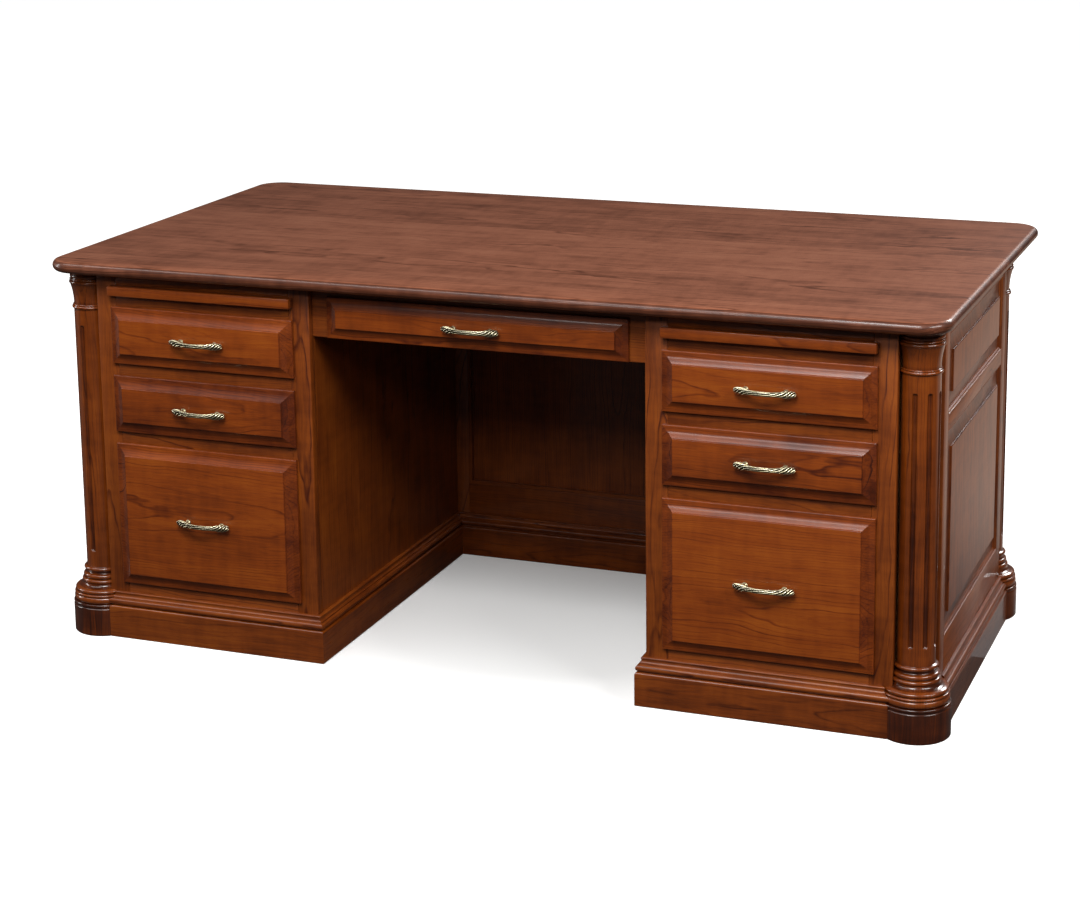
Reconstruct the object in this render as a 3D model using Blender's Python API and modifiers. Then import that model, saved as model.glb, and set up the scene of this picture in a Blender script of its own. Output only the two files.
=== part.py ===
"""Double-pedestal kneehole desk with turned corner columns, drawers and two writing slides.

Metres, +Z up. +X is the width and -Y is the side a person sits at. The origin is on the floor,
under the middle of the desktop.
"""

import math

import bmesh
import bpy
from mathutils import Matrix, Vector

# ---- Overall sizes ----
TOP_WIDTH = 1.829
TOP_DEPTH = 0.990
DESK_HEIGHT = 0.790
TOP_THICKNESS = 0.024
TOP_CORNER_RADIUS = 0.060
BULLNOSE_RADIUS = 0.0117
SIDE_OVERHANG = 0.0265
FRONT_OVERHANG = 0.0475
CASE_DEPTH = 0.748
KNEEHOLE_WIDTH = 0.688

# ---- Clearances ----
JOINT_GAP = 0.0003  # between pieces that touch
FLOOR_LIFT = 0.003  # the case hangs clear of the floor, on its base boards and plinth blocks
SLIDE_PLAY = 0.001  # round a runner in its groove, and round a writing slide in its slot
SIDE_PLAY = 0.0015  # between a drawer box and its opening, each side

# ---- Case ----
FACE_THICKNESS = 0.020
SIDE_THICKNESS = 0.020
BACK_THICKNESS = 0.028
KNEE_PANEL_THICKNESS = 0.018
FACE_STILE = 0.044
SIDE_STILE = 0.046
BACK_STILE = 0.050
BACK_MULLION = 0.090
TOP_RAIL = 0.036
UPPER_PANEL_HEIGHT = 0.136
MID_RAIL = 0.046
BOTTOM_RAIL_TOP = 0.171
PANEL_TONGUE = 0.008
PANEL_TONGUE_THICKNESS = 0.0054
PANEL_BEVEL_WIDTH = 0.028
PANEL_BEVEL_RISE = 0.0055
PANEL_SHOULDER = 0.0025
SIDE_GROOVE_DEPTH_IN = 0.013  # from the frame's outer face to the back of its panel groove
BACK_GROOVE_DEPTH_IN = 0.016

# ---- Corner columns and base ----
NOTCH = 0.0705
COLUMN_INSET = 0.0355
SHAFT_RADIUS = 0.0355
COLUMN_FOOT_RADIUS = 0.0640
CAPITAL_RADIUS = 0.0405
CAPITAL_RINGS = (  # radius, radius beside it, its top below the case top, its height
    (0.0420, 0.0395, 0.0117, 0.0060),
    (0.0430, 0.0405, 0.0193, 0.0036),
    (0.0440, 0.0410, 0.0232, 0.0070),
)
BELL_TOP_RADIUS = 0.0410
BELL_FOOT_RADIUS = 0.0350
BELL_HEIGHT = 0.0420
NECK_RINGS = (  # radius, radius beside it, its top below the bell, its height
    (0.0376, 0.0358, 0.0003, 0.0026),
    (0.0397, 0.0355, 0.0032, 0.0067),
)
FOOT_RINGS = (  # radius, radius beside it, its top above the foot, its height
    (0.0414, 0.0355, 0.0712, 0.0085),
    (0.0350, 0.0365, 0.0622, 0.0055),  # a hollow
    (0.0438, 0.0395, 0.0562, 0.0094),
    (0.0466, 0.0430, 0.0462, 0.0090),
    (0.0612, 0.0565, 0.0285, 0.0090),
    (0.0632, 0.0605, 0.0191, 0.0056),
)
FOOT_DISC_RADIUS = 0.0600
FOOT_DISC_HEIGHT = 0.0068
COLUMN_STEPS = 20
PLINTH_RADIUS = 0.0660
PLINTH_STEPS = 32
FLUTE_RADIUS = 0.0042
FLUTE_DEPTH = 0.0036
FLUTE_BOTTOM = 0.185
FLUTE_TOP_BELOW = 0.120  # from the top of the case
BASE_HEIGHT = 0.067
BASE_THICKNESS = 0.0175
BASE_EASE = 0.003
CAP_HEIGHT = 0.0282
CAP_TORUS_RADIUS = 0.0070
CAP_TORUS_OUT = 0.0095
CAP_TORUS_ABOVE = 0.0105
CAP_COVE_RADIUS = 0.0045
CAP_FILLET_OUT = 0.0060

# ---- Fronts and slides ----
FRONT_THICKNESS = 0.019
FRONT_EDGE_THICKNESS = 0.007
FRONT_BEVEL_WIDTH = 0.018
FRONT_BEVEL_RISE = 0.0075
FRONT_SHOULDER = 0.0045
FRONT_LIP = 0.0095  # how far a front laps over its opening, each side
FRONT_GAP = 0.0245
DRAWER_FRONT_HEIGHT = 0.117
FILE_FRONT_BOTTOM = 0.117
SLIDE_TOP_BELOW = 0.0245  # from the top of the case to a writing slide's edge strip
SLIDE_STRIP_HEIGHT = 0.020
SLIDE_BOARD_THICKNESS = 0.015
SLIDE_LENGTH = 0.520

# ---- Drawer boxes and runners ----
BOX_WALL = 0.015
BOX_BOTTOM = 0.010
BOX_LIFT = 0.004
BOX_TOP_SPACE = 0.016
BOX_BACK_SPACE = 0.110
RUNNER_HEIGHT = 0.016
RUNNER_ENGAGEMENT = 0.006
RUNNER_ABOVE_BOX_BOTTOM = 0.030
RUNNER_WIDTH = 0.034
POST_WIDTH = 0.040
POST_DEPTH = 0.040

# ---- Pencil drawer ----
PENCIL_RECESS = 0.015
PENCIL_TOP_BELOW = 0.0195  # from the top of the case to the top of its front
PENCIL_FRONT_HEIGHT = 0.0825
PENCIL_STILE = 0.0345
PENCIL_DEPTH = 0.480
PENCIL_BOX_LENGTH = 0.430
PENCIL_BOX_HEIGHT = 0.050
PENCIL_RAIL = 0.020

# ---- Pulls ----
PULL_HALF_LENGTH = 0.0585
PULL_POST_OFFSET = 0.038
PULL_POST_RADIUS = 0.004
PULL_END_REACH = 0.0075
PULL_BOW = 0.0155
PULL_BAR_RADIUS = 0.0042
PULL_KNUCKLE_SWELL = 0.0034
PULL_KNUCKLE_AT = 0.0465
PULL_KNUCKLE_SPREAD = 0.009
PULL_POINTS = 15

CASE_HALF = TOP_WIDTH / 2 - SIDE_OVERHANG
KNEE_HALF = KNEEHOLE_WIDTH / 2
CASE_FRONT = -TOP_DEPTH / 2 + FRONT_OVERHANG
CASE_BACK = CASE_FRONT + CASE_DEPTH
CASE_TOP = DESK_HEIGHT - TOP_THICKNESS
TOP_OF_CASE = CASE_TOP - JOINT_GAP
FRAME_EDGE = CASE_HALF - NOTCH
OPENING_IN = KNEE_HALF + FACE_STILE
OPENING_OUT = FRAME_EDGE - FACE_STILE
FRAME_BACK = CASE_FRONT + FACE_THICKNESS
MODESTY = CASE_BACK - BACK_THICKNESS
CAP_TOP = BASE_HEIGHT + JOINT_GAP + CAP_HEIGHT

WOOD = ((0.164, 0.045, 0.014), 0.32, 0.0)
DARK_WOOD = ((0.082, 0.024, 0.010), 0.30, 0.0)
TOP_WOOD = ((0.135, 0.048, 0.026), 0.24, 0.0)
DRAWER_WOOD = ((0.560, 0.400, 0.230), 0.50, 0.0)
RUNNER_WOOD = ((0.420, 0.270, 0.140), 0.55, 0.0)
BRASS = ((0.560, 0.470, 0.260), 0.34, 1.0)


def clear_scene():
    for old in list(bpy.data.objects):
        bpy.data.objects.remove(old, do_unlink=True)


def collection(name):
    made = bpy.data.collections.new(name)
    bpy.context.scene.collection.children.link(made)
    return made


clear_scene()
DESK = collection("kneehole_desk")
CUTTERS = collection("cutters")


def finish(obj, look):
    """Gives the object a Principled material of its own."""
    colour, roughness, metallic = look
    material = bpy.data.materials.new(obj.name + "_finish")
    material.use_nodes = True
    shader = material.node_tree.nodes["Principled BSDF"]
    shader.inputs["Base Color"].default_value = (*colour, 1.0)
    shader.inputs["Roughness"].default_value = roughness
    shader.inputs["Metallic"].default_value = metallic
    obj.data.materials.append(material)


def place(obj, name, look, group=DESK):
    """Names a new object, links it and gives it its material."""
    obj.name = name
    group.objects.link(obj)
    if look:
        finish(obj, look)
    return obj


def object_of(bm, name, look=None, group=DESK, origin=(0, 0, 0)):
    """Makes an object of a bmesh whose points are in world space, with its origin at the given point."""
    bmesh.ops.translate(bm, verts=bm.verts, vec=-Vector(origin))
    mesh = bpy.data.meshes.new(name)
    bm.to_mesh(mesh)
    bm.free()
    obj = bpy.data.objects.new(name, mesh)
    obj.location = origin
    return place(obj, name, look, group)


def hide_as_cutter(obj):
    obj.hide_render = True
    obj.display_type = "WIRE"
    return obj


def block(bm, span, side=1):
    """Adds a box given as (x0, x1, y0, y1, z0, z1); side -1 puts it on the desk's left."""
    x = sorted((side * span[0], side * span[1]))
    low = Vector((x[0], span[2], span[4]))
    high = Vector((x[1], span[3], span[5]))
    middle = Matrix.Translation((low + high) / 2)
    return bmesh.ops.create_cube(bm, size=1, matrix=middle @ Matrix.Diagonal((*(high - low), 1)))


def blocks(spans, side=1):
    bm = bmesh.new()
    for span in spans:
        block(bm, span, side)
    return bm


def middle_of(span, side=1):
    return (side * (span[0] + span[1]) / 2, (span[2] + span[3]) / 2, (span[4] + span[5]) / 2)


def combine(obj, other, operation):
    modifier = obj.modifiers.new(operation.lower(), "BOOLEAN")
    modifier.operation = operation
    modifier.solver = "EXACT"
    modifier.object = hide_as_cutter(other)


def timber(name, look, span, cuts=(), adds=(), side=1):
    """One wooden piece: a box, boxes glued to it, and boxes cut out of it."""
    obj = object_of(blocks([span], side), name, look, origin=middle_of(span, side))
    for number, add in enumerate(adds):
        combine(obj, object_of(blocks([add], side), f"{name}_add_{number}", group=CUTTERS), "UNION")
    if cuts:
        combine(obj, object_of(blocks(cuts, side), name + "_cut", group=CUTTERS), "DIFFERENCE")
    return obj


def cylinder(bm, radius, steps, centre, low, high):
    height = high - low
    at = Matrix.Translation((centre[0], centre[1], (low + high) / 2))
    bmesh.ops.create_cone(
        bm, cap_ends=True, segments=steps, radius1=radius, radius2=radius, depth=height, matrix=at
    )


def smooth(obj, degrees=35):
    obj.data.shade_smooth()
    obj.data.set_sharp_from_angle(angle=math.radians(degrees))


# ---- Raised faces ----


def raised(bm, face, steps):
    """Insets a face again and again; each step is (width, rise)."""
    for width, rise in steps:
        bmesh.ops.inset_region(bm, faces=[face], thickness=width, depth=rise, use_even_offset=True)


def face_towards(bm, direction):
    return max(bm.faces, key=lambda face: face.normal.dot(Vector(direction)))


def raised_board(name, look, span, towards, steps, origin, parent=None):
    """A board whose face towards the given direction rises to a field."""
    bm = blocks([span])
    bm.normal_update()
    raised(bm, face_towards(bm, towards), steps)
    obj = object_of(bm, name, look, origin=origin)
    if parent:
        carry(obj, parent)
    return obj


PANEL_STEPS = (
    (PANEL_TONGUE, 0.0),
    (PANEL_BEVEL_WIDTH, PANEL_BEVEL_RISE),
    (PANEL_SHOULDER, PANEL_SHOULDER),
)
FRONT_STEPS = (
    (FRONT_BEVEL_WIDTH, FRONT_BEVEL_RISE),
    (FRONT_SHOULDER, FRONT_THICKNESS - FRONT_EDGE_THICKNESS - FRONT_BEVEL_RISE),
)


# ---- Moving bodies ----


def slide_empty(name, at):
    """The frame of a sliding body: an empty on its slide axis."""
    empty = bpy.data.objects.new(name, None)
    empty.empty_display_size = 0.05
    empty.location = at
    DESK.objects.link(empty)
    return empty


def carry(obj, empty):
    obj.location = obj.location - empty.location
    obj.parent = empty


# ---- Desktop ----


def desktop():
    half_x, half_y = TOP_WIDTH / 2, TOP_DEPTH / 2
    span = (-half_x, half_x, -half_y, half_y, CASE_TOP, DESK_HEIGHT)
    bm = blocks([span])
    upright = [edge for edge in bm.edges if abs(edge.verts[0].co.z - edge.verts[1].co.z) > 0.001]
    bmesh.ops.bevel(bm, geom=upright, offset=TOP_CORNER_RADIUS, segments=6, affect="EDGES", profile=0.5)
    bm.normal_update()
    rims = [edge for face in bm.faces if abs(face.normal.z) > 0.9 for edge in face.edges]
    bmesh.ops.bevel(bm, geom=rims, offset=BULLNOSE_RADIUS, segments=4, affect="EDGES", profile=0.5)
    smooth(object_of(bm, "desktop", TOP_WOOD, origin=(0, 0, CASE_TOP)))


# ---- Frames and panels ----

UPPER_PANEL_TOP = CASE_TOP - TOP_RAIL
UPPER_PANEL_BOTTOM = UPPER_PANEL_TOP - UPPER_PANEL_HEIGHT
LOWER_PANEL_TOP = UPPER_PANEL_BOTTOM - MID_RAIL
PANEL_ROWS = (
    ("upper", UPPER_PANEL_BOTTOM, UPPER_PANEL_TOP),
    ("lower", BOTTOM_RAIL_TOP, LOWER_PANEL_TOP),
)
GROOVE = PANEL_TONGUE_THICKNESS + 2 * JOINT_GAP
THROUGH = 0.01  # how far a cutter runs past the face that it cuts


def side_frame(word, side):
    """A pedestal's outer side: one frame and its two raised panels."""
    front, back = CASE_FRONT + NOTCH + JOINT_GAP, CASE_BACK - NOTCH - JOINT_GAP
    inner = CASE_HALF - SIDE_THICKNESS
    groove_in = CASE_HALF - SIDE_GROOVE_DEPTH_IN
    y0, y1 = front + SIDE_STILE, back - SIDE_STILE
    cuts, grooves = [], []
    reach = PANEL_TONGUE + JOINT_GAP
    for row, z0, z1 in PANEL_ROWS:
        cuts.append((inner - THROUGH, CASE_HALF + THROUGH, y0, y1, z0, z1))
        grooves.append((groove_in, groove_in + GROOVE, y0 - reach, y1 + reach, z0 - reach, z1 + reach))
    span = (inner, CASE_HALF, front, back, FLOOR_LIFT, TOP_OF_CASE)
    frame = timber(f"side_frame_{word}", WOOD, span, cuts, side=side)
    combine(frame, object_of(blocks(grooves, side), frame.name + "_grooves", group=CUTTERS), "DIFFERENCE")
    low = groove_in + JOINT_GAP
    for row, z0, z1 in PANEL_ROWS:
        x = sorted((side * low, side * (low + PANEL_TONGUE_THICKNESS)))
        tongue = (y0 - PANEL_TONGUE, y1 + PANEL_TONGUE, z0 - PANEL_TONGUE, z1 + PANEL_TONGUE)
        raised_board(
            f"side_{row}_panel_{word}", WOOD, (*x, *tongue), (side, 0, 0), PANEL_STEPS,
            (side * low, (y0 + y1) / 2, (z0 + z1) / 2),
        )


def back_frame():
    """The frame-and-panel back, which also closes the kneehole as its modesty panel."""
    mullion = KNEE_HALF + KNEE_PANEL_THICKNESS / 2
    bays = (
        ("left", -FRAME_EDGE + BACK_STILE, -mullion - BACK_MULLION / 2),
        ("centre", -mullion + BACK_MULLION / 2, mullion - BACK_MULLION / 2),
        ("right", mullion + BACK_MULLION / 2, FRAME_EDGE - BACK_STILE),
    )
    span = (-FRAME_EDGE, FRAME_EDGE, MODESTY, CASE_BACK, FLOOR_LIFT, TOP_OF_CASE)
    cuts, grooves = [], []
    reach = PANEL_TONGUE + JOINT_GAP
    groove_in = CASE_BACK - BACK_GROOVE_DEPTH_IN
    for word, x0, x1 in bays:
        for row, z0, z1 in PANEL_ROWS:
            cuts.append((x0, x1, MODESTY - THROUGH, CASE_BACK + THROUGH, z0, z1))
            grooves.append((x0 - reach, x1 + reach, groove_in, groove_in + GROOVE, z0 - reach, z1 + reach))
            low = groove_in + JOINT_GAP
            raised_board(
                f"back_{row}_panel_{word}", WOOD,
                (x0 - PANEL_TONGUE, x1 + PANEL_TONGUE, low, low + PANEL_TONGUE_THICKNESS,
                 z0 - PANEL_TONGUE, z1 + PANEL_TONGUE),
                (0, 1, 0), PANEL_STEPS, ((x0 + x1) / 2, low, (z0 + z1) / 2),
            )
    frame = timber("back_frame", WOOD, span, cuts)
    combine(frame, object_of(blocks(grooves), "back_frame_grooves", group=CUTTERS), "DIFFERENCE")


# ---- Heights of the fronts, top to bottom ----

SLIDE_TOP = CASE_TOP - SLIDE_TOP_BELOW
SLIDE_BOTTOM = SLIDE_TOP - SLIDE_STRIP_HEIGHT
SLIDE_BOARD_BOTTOM = (SLIDE_TOP + SLIDE_BOTTOM - SLIDE_BOARD_THICKNESS) / 2
SLIDE_BOARD_TOP = SLIDE_BOARD_BOTTOM + SLIDE_BOARD_THICKNESS


def front_rows():
    """(name, bottom, top) of a pedestal's three drawer fronts."""
    rows = []
    top = SLIDE_BOTTOM - FRONT_GAP
    for name in ("top_drawer", "middle_drawer"):
        rows.append((name, top - DRAWER_FRONT_HEIGHT, top))
        top -= DRAWER_FRONT_HEIGHT + FRONT_GAP
    rows.append(("file_drawer", FILE_FRONT_BOTTOM, top))
    return rows


FRONT_ROWS = front_rows()


def box_heights(bottom, top):
    """Bottom and top of the drawer box behind a front."""
    return bottom + FRONT_LIP + BOX_LIFT, top - FRONT_LIP - BOX_TOP_SPACE


def runner_rows():
    """(bottom, top) of each drawer runner, then of the strips under and over a writing slide."""
    rows = []
    for name, bottom, top in FRONT_ROWS:
        low = box_heights(bottom, top)[0] + RUNNER_ABOVE_BOX_BOTTOM
        rows.append((low, low + RUNNER_HEIGHT))
    under = SLIDE_BOARD_BOTTOM - SLIDE_PLAY
    rows.append((under - RUNNER_HEIGHT, under))
    rows.append((SLIDE_BOARD_TOP + SLIDE_PLAY, TOP_OF_CASE))
    return rows


def face_frame(word, side):
    span = (KNEE_HALF, FRAME_EDGE, CASE_FRONT, FRAME_BACK, FLOOR_LIFT, TOP_OF_CASE)
    openings = [(bottom + FRONT_LIP, top - FRONT_LIP) for name, bottom, top in FRONT_ROWS]
    openings.append((SLIDE_BOARD_BOTTOM - SLIDE_PLAY, SLIDE_BOARD_TOP + SLIDE_PLAY))
    cuts = [
        (OPENING_IN, OPENING_OUT, CASE_FRONT - THROUGH, FRAME_BACK + THROUGH, z0, z1) for z0, z1 in openings
    ]
    timber(f"face_frame_{word}", WOOD, span, cuts, side=side)


BOX_IN = OPENING_IN + SIDE_PLAY
BOX_OUT = OPENING_OUT - SIDE_PLAY


def kneehole_side(word, side):
    """The panel beside the knees, with the inner runners glued to its hidden face."""
    face = KNEE_HALF + KNEE_PANEL_THICKNESS
    y0, y1 = FRAME_BACK + JOINT_GAP, MODESTY - JOINT_GAP
    span = (KNEE_HALF, face, y0, y1, FLOOR_LIFT, TOP_OF_CASE)
    adds = [(face - THROUGH, BOX_IN + RUNNER_ENGAGEMENT, y0, y1, z0, z1) for z0, z1 in runner_rows()]
    timber(f"kneehole_side_{word}", WOOD, span, adds=adds, side=side)


def runner_frame(word, side):
    """Two posts behind the outer stile, joined by the outer runners."""
    x0 = OPENING_OUT + SIDE_PLAY
    y0, y1 = FRAME_BACK + JOINT_GAP, MODESTY - JOINT_GAP
    front_post = (x0, x0 + POST_WIDTH, y0, y0 + POST_DEPTH, FLOOR_LIFT, TOP_OF_CASE)
    back_post = (x0, x0 + POST_WIDTH, y1 - POST_DEPTH, y1, FLOOR_LIFT, TOP_OF_CASE)
    inner = BOX_OUT - RUNNER_ENGAGEMENT
    runners = [(inner, inner + RUNNER_WIDTH, y0, y1, z0, z1) for z0, z1 in runner_rows()]
    name = f"runner_frame_{word}"
    origin = middle_of(front_post, side)
    obj = object_of(blocks([front_post, back_post], side), name, RUNNER_WOOD, origin=origin)
    for number, runner in enumerate(runners):
        combine(obj, object_of(blocks([runner], side), f"{name}_rail_{number}", group=CUTTERS), "UNION")


# ---- Turned columns and plinth blocks ----


def bead(outer, seat, top, height):
    """A half-round swelling of a turned profile, running down from the given height."""
    return [(seat, top), (outer, top - height / 2), (seat, top - height)]


def column_profile():
    """(radius, height) down the outside of a column."""
    top = TOP_OF_CASE
    foot = BASE_HEIGHT + JOINT_GAP
    profile = [(0.0, top), (CAPITAL_RADIUS, top)]
    for outer, seat, below, height in CAPITAL_RINGS:
        profile += bead(outer, seat, top - below, height)
    bell_top = profile[-1][1]
    for part in (0.25, 0.55, 1.0):
        flare = (BELL_TOP_RADIUS - BELL_FOOT_RADIUS) * (1 - part) ** 2
        profile.append((BELL_FOOT_RADIUS + flare, bell_top - BELL_HEIGHT * part))
    for outer, seat, below, height in NECK_RINGS:
        profile += bead(outer, seat, bell_top - BELL_HEIGHT - below, height)
    for outer, seat, above, height in FOOT_RINGS:
        profile += bead(outer, seat, foot + above, height)
    return profile + [(COLUMN_FOOT_RADIUS, foot + FOOT_DISC_HEIGHT), (FOOT_DISC_RADIUS, foot), (0.0, foot)]


def turned(name, look, profile, steps, at):
    """Screws a profile round Z."""
    mesh = bpy.data.meshes.new(name)
    points = [(radius, 0.0, height) for radius, height in profile]
    mesh.from_pydata(points, [(i, i + 1) for i in range(len(points) - 1)], [])
    obj = place(bpy.data.objects.new(name, mesh), name, look)
    obj.location = (at[0], at[1], 0)
    screw = obj.modifiers.new("turning", "SCREW")
    screw.steps = screw.render_steps = steps
    screw.merge_threshold = 0.00001
    screw.use_merge_vertices = True
    screw.use_smooth_shade = True
    return obj


def corner_at(side, end):
    """Plan centre of a corner's column; end is -1 at the front and 1 at the back."""
    edge = CASE_FRONT if end < 0 else CASE_BACK
    return (side * (CASE_HALF - COLUMN_INSET), edge - end * COLUMN_INSET)


def case_corner(name, side, end):
    """The case round a corner notch, as a cutter that keeps the joint gap."""
    edge = CASE_FRONT if end < 0 else CASE_BACK
    deep = edge - end * CASE_DEPTH / 2
    face = edge + end * JOINT_GAP
    notch = edge - end * (NOTCH - JOINT_GAP)
    beside = (0, FRAME_EDGE + JOINT_GAP, *sorted((face, deep)), -THROUGH, DESK_HEIGHT)
    behind = (0, CASE_HALF + JOINT_GAP, *sorted((notch, deep)), -THROUGH, DESK_HEIGHT)
    first = object_of(blocks([beside], side), name, group=CUTTERS)
    second = object_of(blocks([behind], side), name + "_behind", group=CUTTERS)
    return first, second


def flutes(name, side, end):
    """Three upright grooves on a column's outward quarter."""
    centre = corner_at(side, end)
    reach = SHAFT_RADIUS + FLUTE_RADIUS - FLUTE_DEPTH
    bm = bmesh.new()
    for quarter in (0, math.pi / 4, math.pi / 2):
        at = (centre[0] + side * reach * math.cos(quarter), centre[1] + end * reach * math.sin(quarter))
        cylinder(bm, FLUTE_RADIUS, 8, at, FLUTE_BOTTOM, CASE_TOP - FLUTE_TOP_BELOW)
    return object_of(bm, name, group=CUTTERS)


def corner(place_name, side, end):
    """One corner of the desk: its fluted column and the plinth block under it."""
    column = turned(f"column_{place_name}", DARK_WOOD, column_profile(), COLUMN_STEPS, corner_at(side, end))
    bm = bmesh.new()
    cylinder(bm, PLINTH_RADIUS, PLINTH_STEPS, corner_at(side, end), 0, BASE_HEIGHT)
    block_name = f"plinth_block_{place_name}"
    plinth = object_of(bm, block_name, DARK_WOOD, origin=(*corner_at(side, end), 0))
    combine(column, flutes(column.name + "_flutes", side, end), "DIFFERENCE")
    for cutter in case_corner(f"case_{place_name}", side, end):
        for piece in (column, plinth):
            combine(piece, cutter, "DIFFERENCE")
    smooth(plinth)


# ---- Base boards and base cap, run round the case on mitred paths ----


def arc(centre, radius, start, end, steps):
    """Points (out, height) on an arc, angles in degrees from straight out."""
    points = []
    for i in range(steps + 1):
        angle = math.radians(start + (end - start) * i / steps)
        points.append((centre[0] + radius * math.cos(angle), centre[1] + radius * math.sin(angle)))
    return points


def board_profile():
    out = JOINT_GAP + BASE_THICKNESS
    eased_edge = [(out, BASE_HEIGHT - BASE_EASE), (out - BASE_EASE, BASE_HEIGHT)]
    return [(JOINT_GAP, 0), (out, 0), *eased_edge, (JOINT_GAP, BASE_HEIGHT)]


def cap_profile():
    """A torus under a cove and a small fillet."""
    low = BASE_HEIGHT + JOINT_GAP
    cove_at = (CAP_FILLET_OUT + CAP_COVE_RADIUS, CAP_TOP - CAP_COVE_RADIUS)
    torus = arc((CAP_TORUS_OUT, low + CAP_TORUS_ABOVE), CAP_TORUS_RADIUS, -80, 80, 5)
    cove = arc(cove_at, CAP_COVE_RADIUS, 260, 180, 3)
    front = [(CAP_TORUS_OUT, low), *torus, *cove, (CAP_FILLET_OUT, CAP_TOP)]
    return [(JOINT_GAP, low), *front, (JOINT_GAP, CAP_TOP)]


def mitres(path):
    """At each plan point, the vector that a point one metre out from the case face moves by."""
    outward = []
    for a, b in zip(path, path[1:]):
        along = (Vector(b) - Vector(a)).normalized()
        outward.append(Vector((along.y, -along.x)))
    ends = [outward[0], *outward, outward[-1]]
    return [(a + b) / (1 + a.dot(b)) for a, b in zip(ends, ends[1:])]


def moulding(name, look, path, profile):
    """Extrudes a profile (out, height) along a plan path, its case face on the left of travel."""
    bm = bmesh.new()
    turns = mitres(path)
    verts = []
    for out, height in profile:
        point = Vector(path[0]) + out * turns[0]
        verts.append(bm.verts.new((point.x, point.y, height)))
    first = face = bm.faces.new(verts)
    for at, turn, last_at, last_turn in zip(path[1:], turns[1:], path, turns):
        grown = bmesh.ops.extrude_face_region(bm, geom=[face])["geom"]
        if face is not first:
            bm.faces.remove(face)
        face = next(item for item in grown if isinstance(item, bmesh.types.BMFace))
        for vert in face.verts:
            out = (vert.co.xy - Vector(last_at)).dot(last_turn) / last_turn.length_squared
            point = Vector(at) + out * turn
            vert.co = (point.x, point.y, vert.co.z)
    bmesh.ops.recalc_face_normals(bm, faces=bm.faces)
    return object_of(bm, name, look, origin=(*path[0], 0))


def cope(piece, corners, radius):
    """Cuts a base piece back to the round plinth block or column foot at its ends."""
    bm = bmesh.new()
    for side, end in corners:
        cylinder(bm, radius + JOINT_GAP, PLINTH_STEPS, corner_at(side, end), -THROUGH, CAP_TOP + THROUGH)
    combine(piece, object_of(bm, piece.name + "_cope", group=CUTTERS), "DIFFERENCE")


def base_runs():
    """Name, plan path and the corners at the ends of each base run."""
    right, back, front = CASE_HALF, CASE_BACK, CASE_FRONT
    column_x = CASE_HALF - COLUMN_INSET
    near, far = CASE_FRONT + COLUMN_INSET, CASE_BACK - COLUMN_INSET
    knees = [(-KNEE_HALF, front), (-KNEE_HALF, MODESTY), (KNEE_HALF, MODESTY), (KNEE_HALF, front)]
    return (
        ("right", [(right, near), (right, far)], [(1, -1), (1, 1)]),
        ("left", [(-right, far), (-right, near)], [(-1, 1), (-1, -1)]),
        ("back", [(column_x, back), (-column_x, back)], [(1, 1), (-1, 1)]),
        ("front", [(-column_x, front), *knees, (column_x, front)], [(-1, -1), (1, -1)]),
    )


def base():
    for word, path, corners in base_runs():
        cope(moulding(f"base_board_{word}", DARK_WOOD, path, board_profile()), corners, PLINTH_RADIUS)
        cope(moulding(f"base_cap_{word}", WOOD, path, cap_profile()), corners, COLUMN_FOOT_RADIUS)


# ---- Pulls ----


def pull_reach(x):
    """How far the bar stands off the drawer front."""
    return PULL_END_REACH + PULL_BOW * math.cos(math.pi / 2 * x / PULL_HALF_LENGTH)


def pull_radius(x):
    swell = math.exp(-(((abs(x) - PULL_KNUCKLE_AT) / PULL_KNUCKLE_SPREAD) ** 2))
    return PULL_BAR_RADIUS + PULL_KNUCKLE_SWELL * swell


def pull_bar():
    """The bowed bar as a mesh, centred on the middle of the drawer front's field."""
    curve = bpy.data.curves.new("pull_bar", "CURVE")
    curve.dimensions = "3D"
    curve.bevel_depth = PULL_BAR_RADIUS
    curve.bevel_resolution = 2
    curve.use_fill_caps = True
    spline = curve.splines.new("POLY")
    spline.points.add(PULL_POINTS - 1)
    for i, point in enumerate(spline.points):
        x = PULL_HALF_LENGTH * (2 * i / (PULL_POINTS - 1) - 1)
        point.co = (x, -pull_reach(x), 0, 1)
        point.radius = pull_radius(x) / PULL_BAR_RADIUS
    guide = bpy.data.objects.new("pull_bar", curve)
    CUTTERS.objects.link(guide)
    bpy.context.view_layer.update()
    graph = bpy.context.evaluated_depsgraph_get()
    mesh = bpy.data.meshes.new_from_object(guide.evaluated_get(graph))
    bpy.data.objects.remove(guide, do_unlink=True)
    bm = bmesh.new()
    bm.from_mesh(mesh)
    bpy.data.meshes.remove(mesh)
    bmesh.ops.remove_doubles(bm, verts=bm.verts, dist=0.00001)
    return bm


def pull(name, at, empty):
    """A bow pull on two posts; at is the middle of the field it is screwed to."""
    bm = pull_bar()
    bmesh.ops.translate(bm, verts=bm.verts, vec=at)
    obj = object_of(bm, name, BRASS, origin=at)
    for number, side in enumerate((-1, 1)):
        x = side * PULL_POST_OFFSET
        height = pull_reach(x) - JOINT_GAP
        turn = Matrix.Rotation(math.pi / 2, 4, "X")
        middle = Matrix.Translation(Vector(at) + Vector((x, -JOINT_GAP - height / 2, 0)))
        post = bmesh.new()
        bmesh.ops.create_cone(
            post, cap_ends=True, segments=10, radius1=PULL_POST_RADIUS, radius2=PULL_POST_RADIUS,
            depth=height, matrix=middle @ turn,
        )
        combine(obj, object_of(post, f"{name}_post_{number}", group=CUTTERS), "UNION")
    smooth(obj, 60)
    carry(obj, empty)


# ---- Drawers and writing slides ----


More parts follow.
